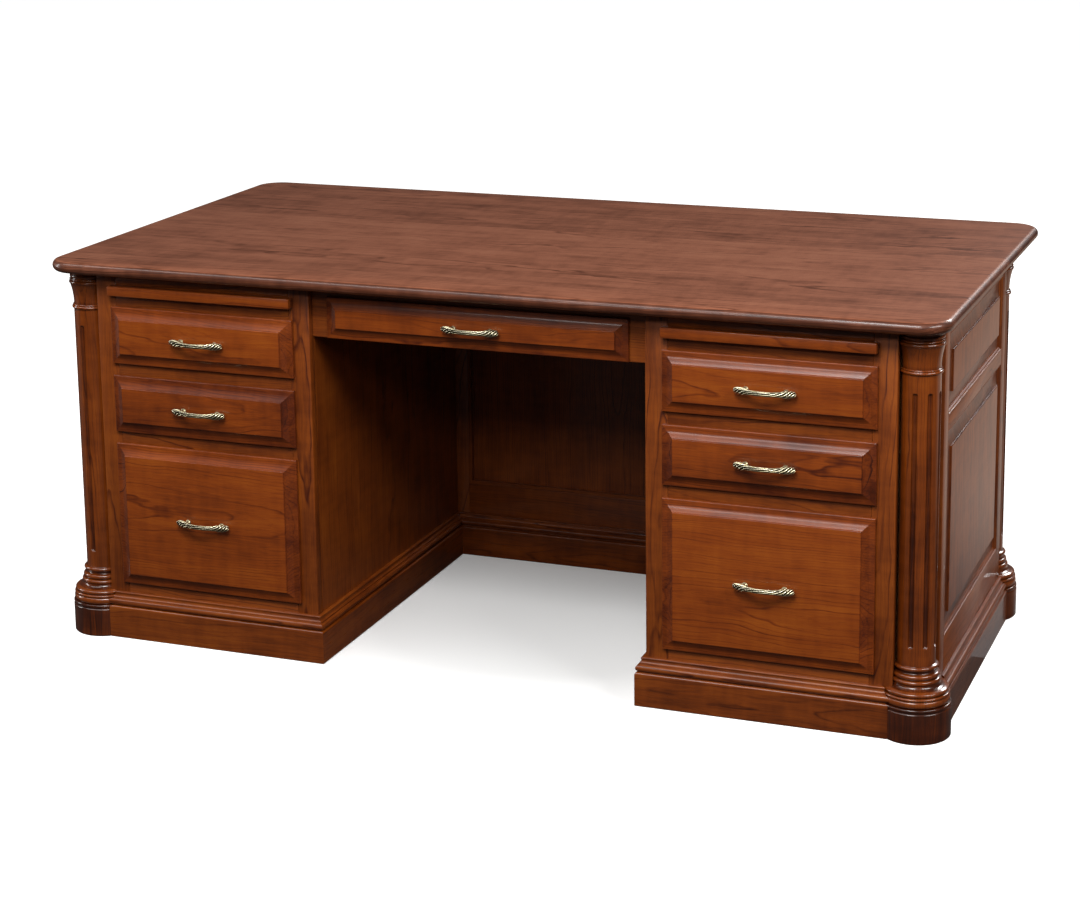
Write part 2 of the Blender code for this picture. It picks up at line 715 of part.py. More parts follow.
def drawer(name, x0, x1, z0, z1, face, box, groove_low, length):
    """A front, box and pull on one slide; face is the plane that the front laps on."""
    back = face - 2 * JOINT_GAP
    edge = back - FRONT_EDGE_THICKNESS
    field = back - FRONT_THICKNESS
    middle = ((x0 + x1) / 2, field, (z0 + z1) / 2)
    empty = slide_empty(name, middle)
    span = (x0, x1, edge, back, z0, z1)
    raised_board(f"{name}_front", WOOD, span, (0, -1, 0), FRONT_STEPS, middle, empty)
    left, right, low, high = box
    y0 = face - JOINT_GAP
    y1 = y0 + length
    play = RUNNER_ENGAGEMENT + SLIDE_PLAY
    groove = (y0 - THROUGH, y1 + THROUGH, groove_low - SLIDE_PLAY, groove_low + RUNNER_HEIGHT + SLIDE_PLAY)
    cuts = [
        (left + BOX_WALL, right - BOX_WALL, y0 + BOX_WALL, y1 - BOX_WALL, low + BOX_BOTTOM, high + THROUGH),
        (left - THROUGH, left + play, *groove),
        (right - play, right + THROUGH, *groove),
    ]
    carry(timber(f"{name}_box", DRAWER_WOOD, (left, right, y0, y1, low, high), cuts), empty)
    pull(f"{name}_pull", middle, empty)


def pedestal_drawers(word, side):
    length = CASE_DEPTH - BACK_THICKNESS - BOX_BACK_SPACE
    for row, bottom, top in FRONT_ROWS:
        x = sorted((side * (OPENING_IN - FRONT_LIP), side * (OPENING_OUT + FRONT_LIP)))
        low, high = box_heights(bottom, top)
        box = (*sorted((side * BOX_IN, side * BOX_OUT)), low, high)
        groove_low = low + RUNNER_ABOVE_BOX_BOTTOM
        drawer(f"{row}_{word}", *x, bottom, top, CASE_FRONT, box, groove_low, length)


def writing_slide(word, side):
    """A board in a slot over the drawers, with a strip along its front edge."""
    back = CASE_FRONT - 2 * JOINT_GAP
    front = back - FRONT_THICKNESS
    strip = (OPENING_IN - FRONT_LIP, OPENING_OUT + FRONT_LIP, front, back, SLIDE_BOTTOM, SLIDE_TOP)
    y = ((front + back) / 2, CASE_FRONT + SLIDE_LENGTH)
    board = (BOX_IN, BOX_OUT, *y, SLIDE_BOARD_BOTTOM, SLIDE_BOARD_TOP)
    name = f"writing_slide_{word}"
    empty = slide_empty(name + "_slide", middle_of(strip, side))
    carry(timber(name, WOOD, strip, adds=[board], side=side), empty)


PENCIL_FACE = CASE_FRONT + PENCIL_RECESS
PENCIL_HALF = KNEE_HALF - PENCIL_STILE
PENCIL_OPENING = PENCIL_HALF - FRONT_LIP
PENCIL_FRONT_TOP = CASE_TOP - PENCIL_TOP_BELOW
PENCIL_FRONT_BOTTOM = PENCIL_FRONT_TOP - PENCIL_FRONT_HEIGHT
PENCIL_BOX_LOW = PENCIL_FRONT_BOTTOM + BOX_LIFT
PENCIL_BOX_HALF = PENCIL_OPENING - SIDE_PLAY
PENCIL_RUNNER_LOW = PENCIL_BOX_LOW + (PENCIL_BOX_HEIGHT - RUNNER_HEIGHT) / 2


def pencil_housing():
    """The apron rail over the kneehole, with the side rails that carry the pencil drawer."""
    outer = KNEE_HALF - JOINT_GAP
    back = PENCIL_FACE + PENCIL_DEPTH
    span = (-outer, outer, PENCIL_FACE, back, PENCIL_FRONT_BOTTOM, TOP_OF_CASE)
    rail_bottom = PENCIL_FRONT_TOP - FRONT_LIP
    low = PENCIL_FRONT_BOTTOM - THROUGH
    inside = PENCIL_FACE + FACE_THICKNESS
    wide = (-PENCIL_OPENING, PENCIL_OPENING)
    hollow = (*wide, inside, back - PENCIL_RAIL, low, CASE_TOP + THROUGH)
    mouth = (*wide, PENCIL_FACE - THROUGH, inside + THROUGH, low, rail_bottom)
    housing = timber("pencil_housing", WOOD, span, [hollow])
    combine(housing, object_of(blocks([mouth]), "pencil_mouth", group=CUTTERS), "DIFFERENCE")
    y0, y1 = FRAME_BACK + PENCIL_RECESS, back - PENCIL_RAIL / 2
    inner = PENCIL_BOX_HALF - RUNNER_ENGAGEMENT
    z = (PENCIL_RUNNER_LOW, PENCIL_RUNNER_LOW + RUNNER_HEIGHT)
    for number, side in enumerate((-1, 1)):
        runner = (inner, PENCIL_OPENING + THROUGH, y0, y1, *z)
        combine(housing, object_of(blocks([runner], side), f"pencil_runner_{number}", group=CUTTERS), "UNION")


def pencil_drawer():
    box = (-PENCIL_BOX_HALF, PENCIL_BOX_HALF, PENCIL_BOX_LOW, PENCIL_BOX_LOW + PENCIL_BOX_HEIGHT)
    front = (-PENCIL_HALF, PENCIL_HALF, PENCIL_FRONT_BOTTOM, PENCIL_FRONT_TOP)
    drawer("pencil_drawer", *front, PENCIL_FACE, box, PENCIL_RUNNER_LOW, PENCIL_BOX_LENGTH)


desktop()
back_frame()
base()
pencil_housing()
pencil_drawer()
for hand, hand_side in (("left", -1), ("right", 1)):
    side_frame(hand, hand_side)
    face_frame(hand, hand_side)
    kneehole_side(hand, hand_side)
    runner_frame(hand, hand_side)
    pedestal_drawers(hand, hand_side)
    writing_slide(hand, hand_side)
    corner(f"front_{hand}", hand_side, -1)
    corner(f"rear_{hand}", hand_side, 1)
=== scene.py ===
import math
import random

import bmesh
import bpy
from mathutils import Matrix, Vector


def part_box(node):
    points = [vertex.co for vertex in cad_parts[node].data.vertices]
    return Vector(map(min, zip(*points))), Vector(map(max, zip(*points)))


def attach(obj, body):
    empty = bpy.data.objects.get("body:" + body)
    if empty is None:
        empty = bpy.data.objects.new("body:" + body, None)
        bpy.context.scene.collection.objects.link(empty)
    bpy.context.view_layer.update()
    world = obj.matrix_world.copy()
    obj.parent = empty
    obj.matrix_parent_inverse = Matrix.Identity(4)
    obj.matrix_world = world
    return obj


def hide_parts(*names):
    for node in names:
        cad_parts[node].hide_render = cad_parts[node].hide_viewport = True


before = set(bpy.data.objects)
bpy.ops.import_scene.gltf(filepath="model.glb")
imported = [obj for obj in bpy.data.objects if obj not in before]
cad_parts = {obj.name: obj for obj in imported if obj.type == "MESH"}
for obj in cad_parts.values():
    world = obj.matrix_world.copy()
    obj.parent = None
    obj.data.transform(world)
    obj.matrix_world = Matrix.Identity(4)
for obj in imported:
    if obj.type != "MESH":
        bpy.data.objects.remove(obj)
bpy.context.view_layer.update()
chance = random.Random(21)  # every board's place in its log comes from here
hands = {"left": -1, "right": 1}
xAxis, yAxis, zAxis = 0, 1, 2
print("frame loaded:", len(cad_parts), "nodes")


def addObject(name, data):
    added = bpy.data.objects.new(name, data)
    bpy.context.scene.collection.objects.link(added)
    return added


# camera first: everything below is seen from here
cameraView = {
    "place": (1.7133, -4.5392, 1.7567),
    "turn": (78.533, 0.692, 20.902),  # degrees
    "lens": 80.17,
    "shiftUp": -0.185,
}


def setCamera(look):
    data = bpy.data.cameras.new("deskCamera")
    data.lens = look["lens"]
    data.sensor_width = 36
    data.shift_y = look["shiftUp"]
    data.clip_end = 200
    camera = addObject("deskCamera", data)
    camera.location = look["place"]
    camera.rotation_euler = [math.radians(angle) for angle in look["turn"]]
    bpy.context.scene.camera = camera


setCamera(cameraView)


# materials

def linear(hexColour):
    values = [int(hexColour[i:i + 2], 16) / 255 for i in (1, 3, 5)]
    return tuple(v / 12.92 if v <= 0.04045 else ((v + 0.055) / 1.055) ** 2.4 for v in values) + (1.0,)


# links sockets and sets plain values
def fill(tree, node, inputs):
    for socket, value in inputs.items():
        if isinstance(value, bpy.types.NodeSocket):
            tree.links.new(value, node.inputs[socket])
        else:
            node.inputs[socket].default_value = value


# adds a node and gives one of its outputs
def addNode(tree, kind, inputs=(), stops=(), out=0, **settings):
    node = tree.nodes.new("ShaderNode" + kind)
    for key, value in settings.items():
        setattr(node, key, value)
    for number, (position, colour) in enumerate(stops):
        elements = node.color_ramp.elements
        element = elements[number] if number < 2 else elements.new(position)
        element.position = position
        element.color = colour
    fill(tree, node, dict(inputs))
    return node.outputs[out]


def grey(value):
    return (value, value, value, 1.0)


def newMaterial(name):
    material = bpy.data.materials.new(name)
    material.use_nodes = True
    return material, material.node_tree, material.node_tree.nodes["Principled BSDF"]


# growth: waves in the trunk bend everything, and each year ends in a thin dark line
woodGrowth = {
    "log": (0.4, 0.05, 0.09),  # metres along, across and out, for pieces without a place of their own
    "waves": (3.4, 13.0, 13.0),  # waves per metre, along the trunk and across it
    "bend": (0.0, 0.024, 0.024),  # metres
    "year": ((0.0, 0.30), (1.0, 0.30), (0.08, 0.0), (0.74, 0.05), (0.93, 1.0)),
    "patches": (0.30, 0.72),  # blotch values between which a ring fades in
    "faintest": 0.05,  # of the deepest ring
    "stainStops": (0.0, 1.0, 0.24, 0.52),
    "poreMm": (18, 1.1, 1.1),
    "poreEdge": (0.60, 0.74),
    "glossSpread": 0.08,
    "reliefMm": 0.08,
}
# patterns: mm along the grain, mm across it, detail, how much it moves the tone
woodPatterns = {
    "fibre": (120, 2.2, 3, 0.38),  # real fibre bundles are 0.5 mm; drawn coarser so that they show
    "streak": (380, 16, 2, 0.28),
    "blotch": (150, 70, 2, 0.50),  # where the stain took unevenly
    "figure": (18, 70, 1, 0.16),  # faint bars across the grain
}

# wiped-on stain under a rubbed lacquer: warm red-brown, thin dark growth lines, soft gloss
cherryCase = {
    "stain": ("#1C0701", "#4C1B06", "#853F10", "#B6631D"),
    "ringMm": 4.6,  # real growth rings are 2 to 4 mm
    "ringDepth": 0.24,
    "poreDepth": 0.24,
    "roughness": 0.42,
    "coat": 0.5,
    "coatRoughness": 0.14,
}
# the show faces: the clearest figure and the brightest stain
cherryFronts = dict(cherryCase, stain=("#200801", "#561F05", "#8B3E0C", "#B66019"), ringDepth=0.23)
# the desktop: browner, rubbed to a duller sheen
cherryTop = dict(
    cherryCase, stain=("#2A0E06", "#61331F", "#985D44", "#B87C5E"), ringMm=6.0, ringDepth=0.22,
    roughness=0.46, coat=0.5, coatRoughness=0.12,
)
# turned parts: darker, and polished on the lathe, so highlights are narrow and bright
cherryTurned = dict(
    cherryCase, stain=("#120400", "#421703", "#7F3A0D", "#AE5E1A"), ringDepth=0.16,
    roughness=0.30, coat=1.0, coatRoughness=0.07,
)
# clear lacquer on pale hard maple: cream, low contrast
mapleInside = {
    "stain": ("#9A7448", "#BC9662", "#CFAE7C", "#DDC296"),
    "ringMm": 7.0,
    "ringDepth": 0.26,
    "poreDepth": 0.10,
    "roughness": 0.55,
    "coat": 0.15,
    "coatRoughness": 0.35,
}


def finishedWood(name, look, turn=None):
    growth = woodGrowth
    material, tree, shader = newMaterial(name)
    if turn is None:  # boards made below carry their own place in the log
        at = addNode(tree, "Attribute", attribute_name="grain", out="Vector")
        # tone: each board's own stain tone, plus painted shade added on the desktop's nose, the bevels
        # and the column hollows
        tone = addNode(tree, "Attribute", attribute_name="tone", out="Fac")
    else:
        place = addNode(tree, "TexCoord", out="Object")
        angles = [math.radians(angle) for angle in turn]
        at = addNode(tree, "Mapping", {"Vector": place, "Location": growth["log"], "Rotation": angles})
        tone = 0.5
    # slow waves bend the rings and the fibres
    slow = addNode(tree, "VectorMath", {0: at, 1: growth["waves"]}, operation="MULTIPLY")
    wave = addNode(tree, "TexNoise", {"Vector": slow, "Scale": 1.0, "Detail": 3.0}, out="Color")
    wave = addNode(tree, "VectorMath", {0: wave, 1: (0.5, 0.5, 0.5)}, operation="SUBTRACT")
    bent = addNode(tree, "VectorMath", {0: wave, 1: growth["bend"], 2: at}, operation="MULTIPLY_ADD")
    # growth rings round the pith: a thin dark line where each year's growth stops
    flat = addNode(tree, "VectorMath", {0: bent, 1: (0.0, 1.0, 1.0)}, operation="MULTIPLY")
    radius = addNode(tree, "VectorMath", {0: flat}, operation="LENGTH", out="Value")
    rings = addNode(tree, "Math", {0: radius, 1: 1000 / look["ringMm"]}, operation="MULTIPLY")
    year = addNode(tree, "Math", {0: rings}, operation="FRACT")
    stops = [(position, grey(value)) for position, value in growth["year"]]
    latewood = addNode(tree, "ValToRGB", {"Fac": year}, stops=stops)
    number = addNode(tree, "Math", {0: rings}, operation="FLOOR")
    strength = addNode(tree, "TexWhiteNoise", {"W": number}, noise_dimensions="1D")
    total = tone
    kept = {}
    for label, (alongMm, acrossMm, detail, weight) in woodPatterns.items():
        across = 1000 / acrossMm
        scaled = addNode(
            tree, "VectorMath", {0: bent, 1: (1000 / alongMm, across, across)}, operation="MULTIPLY"
        )
        pattern = addNode(
            tree, "TexNoise", {"Vector": scaled, "Scale": 1.0, "Detail": detail, "Roughness": 0.6}
        )
        kept[label] = pattern
        centred = addNode(tree, "Math", {0: pattern, 1: 0.5}, operation="SUBTRACT")
        total = addNode(tree, "Math", {0: centred, 1: weight, 2: total}, operation="MULTIPLY_ADD")
    fadeFrom, fadeTo = growth["patches"]
    patchy = addNode(
        tree, "MapRange", {"Value": kept["blotch"], "From Min": fadeFrom, "From Max": fadeTo}
    )
    patchy = addNode(tree, "Math", {0: strength, 1: patchy}, operation="MULTIPLY")
    deepest = -2.0 * look["ringDepth"]
    depth = addNode(
        tree, "Math", {0: patchy, 1: deepest, 2: deepest * growth["faintest"]}, operation="MULTIPLY_ADD"
    )
    total = addNode(tree, "Math", {0: latewood, 1: depth, 2: total}, operation="MULTIPLY_ADD")
    deep, dark, middle, light = [linear(colour) for colour in look["stain"]]
    stops = tuple(zip(growth["stainStops"], (deep, light, dark, middle)))
    colour = addNode(tree, "ValToRGB", {"Fac": total}, stops=stops)
    # open pores: short dark dashes along the grain
    scaled = addNode(
        tree, "VectorMath",
        {0: bent, 1: [1000 / size for size in growth["poreMm"]]}, operation="MULTIPLY",
    )
    pores = addNode(tree, "TexNoise", {"Vector": scaled, "Scale": 1.0, "Detail": 1.0})
    edgeFrom, edgeTo = growth["poreEdge"]
    dashes = addNode(
        tree, "MapRange",
        {"Value": pores, "From Min": edgeFrom, "From Max": edgeTo, "To Max": look["poreDepth"]},
    )
    colour = addNode(tree, "Mix", {0: dashes, 6: colour, 7: deep}, data_type="RGBA", out=2)
    dull, bright = look["roughness"] + growth["glossSpread"], look["roughness"] - growth["glossSpread"]
    rough = addNode(tree, "MapRange", {"Value": kept["fibre"], "To Min": dull, "To Max": bright})
    height = addNode(tree, "Math", {0: dashes, 1: -1.5, 2: kept["fibre"]}, operation="MULTIPLY_ADD")
    bump = addNode(
        tree, "Bump", {"Height": height, "Distance": growth["reliefMm"] / 1000, "Strength": 0.4}
    )
    fill(tree, shader, {"Base Color": colour, "Roughness": rough, "Normal": bump})
    fill(tree, shader, {"Coat Weight": look["coat"], "Coat Roughness": look["coatRoughness"]})
    fill(tree, shader, {"IOR": 1.5, "Specular IOR Level": 0.35})
    return material


# cast brass, tumbled and aged: soft pale highlights, brown-black patina left in the twists
brassLook = {
    "bright": "#F4EDD2",
    "worn": "#A89C70",
    "patina": "#1E150C",
    "roughness": 0.30,
    "castMm": 1.4,
    "castWeight": 0.35,
}


def agedBrass(name, look):
    material, tree, shader = newMaterial(name)
    hollow = addNode(tree, "Attribute", attribute_name="tone", out="Fac")
    place = addNode(tree, "TexCoord", out="Object")
    cast = addNode(tree, "TexNoise", {"Vector": place, "Scale": 1000 / look["castMm"], "Detail": 3.0})
    mixed = addNode(tree, "Math", {0: cast, 1: look["castWeight"], 2: hollow}, operation="MULTIPLY_ADD")
    bright, worn, patina = linear(look["bright"]), linear(look["worn"]), linear(look["patina"])
    colour = addNode(
        tree, "ValToRGB", {"Fac": mixed}, stops=((0.22, patina), (1.0, bright), (0.48, worn))
    )
    rough = addNode(
        tree, "MapRange",
        {"Value": mixed, "To Min": look["roughness"] + 0.25, "To Max": look["roughness"] - 0.06},
    )
    bump = addNode(tree, "Bump", {"Height": cast, "Distance": 0.0001, "Strength": 0.4})
    fill(tree, shader, {"Base Color": colour, "Metallic": 1.0, "Roughness": rough, "Normal": bump})
    return material


caseWood = finishedWood("stainedCherrySatinLacquer", cherryCase)
frontWood = finishedWood("stainedCherryFrontsSatinLacquer", cherryFronts)
topWood = finishedWood("stainedCherryTopSatinLacquer", cherryTop)
turnedWood = finishedWood("darkStainedCherryGlossLacquer", cherryTurned)
brass = agedBrass("castAntiqueBrass", brassLook)
uprightCherry = finishedWood("stainedCherryUprightGrain", cherryCase, turn=(0, 90, 0))
lengthwiseCherry = finishedWood("stainedCherryLengthwiseGrain", cherryCase, turn=(0, 0, 0))
lengthwiseMaple = finishedWood("clearLacqueredMapleLengthwiseGrain", mapleInside, turn=(0, 0, 90))
print("materials made")


# mesh helpers

def newShape():
    bm = bmesh.new()
    bm.loops.layers.float_vector.new("grain")
    bm.loops.layers.float.new("tone")
    return bm


# a finished shape becomes an object
def shapeObject(name, bm):
    mesh = bpy.data.meshes.new(name)
    bm.to_mesh(mesh)
    bm.free()
    return addObject(name, mesh)


# metres along the trunk, across it and out from the pith, and the stain's tone
logLook = {"start": (0.0, 5.0), "offset": (-0.05, 0.05), "deep": (0.045, 0.12), "shade": (0.44, 0.56)}


# a board's place in its log: metres along the trunk, then across and through it from the pith
def layGrain(bm, faces, along, through, slant=0.05, shades=None):
    grain = bm.loops.layers.float_vector["grain"]
    tone = bm.loops.layers.float["tone"]
    across = 3 - along - through
    centre = sum((face.calc_center_median() for face in faces), Vector()) / len(faces)
    start = chance.uniform(*logLook["start"])
    offset = chance.uniform(*logLook["offset"])
    deep = chance.uniform(*logLook["deep"])
    tilt = chance.uniform(-slant, slant)
    shade = chance.uniform(*logLook["shade"])
    for face in faces:
        added = shades.get(face, 0.0) if shades else 0.0
        for loop in face.loops:
            at = loop.vert.co - centre
            out = at[through] + deep + tilt * at[along]
            loop[grain] = (at[along] + start, at[across] + offset, out)
            loop[tone] = shade + added


def makePiece(bm, name, material, body, replaced=(), sharpAngle=32):
    bmesh.ops.recalc_face_normals(bm, faces=bm.faces)
    piece = shapeObject(name, bm)
    piece.data.shade_smooth()
    piece.data.set_sharp_from_angle(angle=math.radians(sharpAngle))
    piece.data.materials.append(material)
    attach(piece, body)
    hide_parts(*replaced)


def addBoard(bm, low, high, along, through, ease=0.0010):
    known = set(bm.faces)
    low, high = Vector(map(min, low, high)), Vector(map(max, low, high))
    middle = Matrix.Translation((low + high) / 2) @ Matrix.Diagonal((*(high - low), 1))
    verts = bmesh.ops.create_cube(bm, size=1, matrix=middle)["verts"]
    edges = list({edge for vert in verts for edge in vert.link_edges})
    if ease:
        bmesh.ops.bevel(bm, geom=edges, offset=ease, segments=2, affect="EDGES", profile=0.5)
    faces = [face for face in bm.faces if face not in known]
    layGrain(bm, faces, along, through)


# corner points of a rectangle in the plane square to an axis, inset, and raised along the axis
def rectangle(low, high, axis, inset, level):
    first, second = [other for other in range(3) if other != axis]
    points = []
    for a, b in ((0, 0), (1, 0), (1, 1), (0, 1)):
        point = [0.0, 0.0, 0.0]
        point[axis] = level
        point[first] = (low[first] + inset, high[first] - inset)[a]
        point[second] = (low[second] + inset, high[second] - inset)[b]
        points.append(point)
    return points


# the faces between two rings of points
def bridge(bm, lower, upper):
    faces = []
    for i in range(len(lower)):
        j = (i + 1) % len(lower)
        faces.append(bm.faces.new((lower[i], lower[j], upper[j], upper[i])))
    return faces


bevelStainAndShade = {"across": -0.17, "along": -0.09}  # painted shade on every bevel round the raised field, deeper across the end grain, which also drinks more stain


# a board with a shaped face: profile is (inset, height) outward from the back
def raisedBoard(bm, low, high, axis, side, profile, along):
    back = low[axis] if side > 0 else high[axis]
    rings = []
    for inset, height in profile:
        points = rectangle(low, high, axis, inset, back + side * height)
        rings.append([bm.verts.new(point) for point in points])
    faces = [bm.faces.new(rings[0]), bm.faces.new(rings[-1])]
    shades = {}
    for lower, upper in zip(rings, rings[1:]):
        for i, face in enumerate(bridge(bm, lower, upper)):
            run = lower[(i + 1) % 4].co - lower[i].co
            # each bevel face is darkened as painted shade, and more on the end grain, which takes more
            # stain
            shades[face] = bevelStainAndShade["across" if abs(run[along]) < run.length / 2 else "along"]
            faces.append(face)
    layGrain(bm, faces, along, axis, shades=shades)


# a mitred moulding round an opening: outline is closed, as (inset, level) pairs
def mitredRing(bm, low, high, axis, outline):
    rings = []
    for inset, level in outline:
        rings.append([bm.verts.new(point) for point in rectangle(low, high, axis, inset, level)])
    first, second = [other for other in range(3) if other != axis]
    for i in range(4):
        j = (i + 1) % 4
        faces = []
        for lower, upper in zip(rings, rings[1:] + rings[:1]):
            faces.append(bm.faces.new((lower[i], lower[j], upper[j], upper[i])))
        layGrain(bm, faces, second if i % 2 else first, axis, slant=0.0)


def arcPoints(centre, radius, start, end, steps):
    points = []
    for i in range(steps + 1):
        angle = math.radians(start + (end - start) * i / steps)
        points.append((centre[0] + radius * math.cos(angle), centre[1] + radius * math.sin(angle)))
    return points


# desktop: glued-up planks under one bullnose

topLook = {
    "cornerRadius": 0.060,
    "noseInset": 0.0119,
    "noseSteps": 12,
    "cornerSteps": 14,
    "planks": 8,
    "seamShift": 0.22,  # part of a plank's width
    # painted shade on the bullnose and the underside
    "paintedNoseShade": 0.24,
}


def roundedOutline(halfX, halfY, radius, steps):
    points = []
    for quarter, (x, y) in enumerate(((1, -1), (1, 1), (-1, 1), (-1, -1))):
        centre = (x * (halfX - radius), y * (halfY - radius))
        points += arcPoints(centre, radius, quarter * 90 - 90, quarter * 90, steps)
    return points


def makeDesktop(look):
    low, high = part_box("desktop")
    middle = (low.z + high.z) / 2
    bm = newShape()
    rings = []
    for step in range(look["noseSteps"] + 1):
        angle = math.pi * (step / look["noseSteps"] - 0.5)
        inset = look["noseInset"] * (1 - math.cos(angle))
        radius = look["cornerRadius"] - inset
        outline = roundedOutline(high.x - inset, high.y - inset, radius, look["cornerSteps"])
        level = middle + (high.z - middle) * math.sin(angle)
        rings.append([bm.verts.new((*point, level)) for point in outline])
    bm.faces.new(rings[0])
    bm.faces.new(rings[-1])
    for lower, upper in zip(rings, rings[1:]):
        bridge(bm, lower, upper)
    bmesh.ops.recalc_face_normals(bm, faces=bm.faces)
    width = (high.y - low.y) / look["planks"]
    seams = []
    for number in range(1, look["planks"]):
        shift = chance.uniform(-look["seamShift"], look["seamShift"])
        seams.append(low.y + width * (number + shift))
        parts = [*bm.verts, *bm.edges, *bm.faces]
        bmesh.ops.bisect_plane(bm, geom=parts, plane_co=(0, seams[-1], 0), plane_no=(0, 1, 0))
    edges = [low.y, *seams, high.y]
    for start, end in zip(edges, edges[1:]):
        plank = [face for face in bm.faces if start < face.calc_center_median().y <= end]
        # painted shade: faces turned away from straight up, the nose and the underside, are darkened
        shades = {face: -look["paintedNoseShade"] for face in plank if face.normal.z < 0.85}
        layGrain(bm, plank, xAxis, zAxis, slant=0.02, shades=shades)
    makePiece(bm, "glued_desktop", topWood, "case", ["desktop"], sharpAngle=40)


makeDesktop(topLook)
print("desktop made")


# frames and raised panels of the sides and the back

frameLook = {
    "tongue": 0.008,  # how far a panel goes into its frame
    "sticking": 0.0075,  # width of the moulded inner edge
    "stickingDrop": 0.0068,
    "quirk": 0.0010,  # flat and step before the moulding starts
    "quirkDrop": 0.0016,
    "ogee": 0.9,
    "ease": 0.0012,
}
panelLook = {
    "tongueThickness": 0.0054,
    "bevelWidth": 0.028,
    "bevelRise": 0.0050,
    "shoulder": 0.0024,
    "hollow": 0.0011,
}


# from a panel's tongue up its hollow bevel and rounded shoulder to the field
def panelProfile(look, tongue):
    thickness = look["tongueThickness"]
    profile = [(0.0, 0.0), (0.0, thickness)]
    for step in range(9):
        part = step / 8
        sag = look["hollow"] * math.sin(math.pi * part)
        profile.append((tongue + look["bevelWidth"] * part, thickness + look["bevelRise"] * part - sag))
    shoulder = tongue + look["bevelWidth"]
    top = thickness + look["bevelRise"]
    radius = look["shoulder"]
    for inset, height in arcPoints((shoulder + radius, top + 0.0004), radius, 180, 90, 5):
        profile.append((inset, height))
    return profile


# an ogee edge from the frame's face down to the panel
def stickingOutline(look, faceLevel, side, backLevel):
    wide, drop = look["sticking"], look["stickingDrop"]
    quirk, step = look["quirk"], look["quirkDrop"]
    outline = [(0.0, backLevel), (0.0, faceLevel), (quirk, faceLevel)]
    for i in range(1, 9):
        part = i / 8
        swing = math.sin(2 * math.pi * part) / (2 * math.pi) * look["ogee"]
        fall = step + (drop - step) * (part - swing)
        outline.append((quirk + (wide - quirk) * part, faceLevel - side * fall))
    outline.append((wide, backLevel))
    return outline


# the boards of a frame with openings, its face towards side along axis
def framedWall(bm, low, high, axis, side, stiles, rails, openings, look):
    sideways = 3 - axis - zAxis
    for start, end in stiles:
        at, to = low.copy(), high.copy()
        at[sideways], to[sideways] = start, end
        addBoard(bm, at, to, zAxis, axis, look["ease"])
    for (start, end), (bottom, top) in rails:
        at, to = low.copy(), high.copy()
        at[sideways], to[sideways] = start, end
        at.z, to.z = bottom, top
        addBoard(bm, at, to, sideways, axis, look["ease"])
    face, back = (high, low) if side > 0 else (low, high)
    outline = stickingOutline(look, face[axis], side, back[axis])
    for start, end, bottom, top in openings:
        at, to = low.copy(), high.copy()
        at[sideways], to[sideways] = start, end
        at.z, to.z = bottom, top
        mitredRing(bm, at, to, axis, outline)


# the opening that a panel's own box leaves round it, with the moulding's width added
def openingOf(node, axis, look):
    low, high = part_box(node)
    sideways = 3 - axis - zAxis
    grow = look["sticking"] - look["tongue"]
    return low[sideways] - grow, high[sideways] + grow, low.z - grow, high.z + grow


def panelPiece(node, axis, side):
    low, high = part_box(node)
    profile = panelProfile(panelLook, frameLook["tongue"])
    bm = newShape()
    raisedBoard(bm, low, high, axis, side, profile, zAxis)
    makePiece(bm, "raised_" + node, caseWood, "case", [node], sharpAngle=25)


def sidePieces(hand, side):
    node = f"side_frame_{hand}"
    low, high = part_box(node)
    rows = [openingOf(f"side_{row}_panel_{hand}", xAxis, frameLook) for row in ("lower", "upper")]
    y0, y1 = rows[0][:2]
    stiles = [(low.y, y0), (y1, high.y)]
    levels = [low.z, rows[0][2], rows[0][3], rows[1][2], rows[1][3], high.z]
    rails = [((y0, y1), pair) for pair in zip(levels[::2], levels[1::2])]
    bm = newShape()
    framedWall(bm, low, high, xAxis, side, stiles, rails, rows, frameLook)
    makePiece(bm, f"side_stiles_and_rails_{hand}", caseWood, "case", [node])
    for row in ("upper", "lower"):
        panelPiece(f"side_{row}_panel_{hand}", xAxis, side)


def backPieces():
    low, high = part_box("back_frame")
    words = ("left", "centre", "right")
    bays = [openingOf(f"back_lower_panel_{word}", yAxis, frameLook) for word in words]
    upper = openingOf("back_upper_panel_centre", yAxis, frameLook)
    edges = [low.x] + [edge for bay in bays for edge in bay[:2]] + [high.x]
    stiles = list(zip(edges[::2], edges[1::2]))
    levels = [low.z, bays[0][2], bays[0][3], upper[2], upper[3], high.z]
    rails, openings = [], []
    for x0, x1, bottom, top in bays:
        rails += [((x0, x1), pair) for pair in zip(levels[::2], levels[1::2])]
        openings += [(x0, x1, bottom, top), (x0, x1, upper[2], upper[3])]
    bm = newShape()
    framedWall(bm, low, high, yAxis, 1, stiles, rails, openings, frameLook)
    makePiece(bm, "back_stiles_and_rails", caseWood, "case", ["back_frame"])
    for word in words:
        for row in ("upper", "lower"):
            panelPiece(f"back_{row}_panel_{word}", yAxis, 1)


for hand, side in hands.items():
    sidePieces(hand, side)
backPieces()
print("sides and back made")


# face frames: the boards round the drawers and the writing slides

faceLook = {"lip": 0.0095, "slotHalf": 0.0085, "ease": 0.0014}
drawerRows = ("file_drawer", "middle_drawer", "top_drawer")


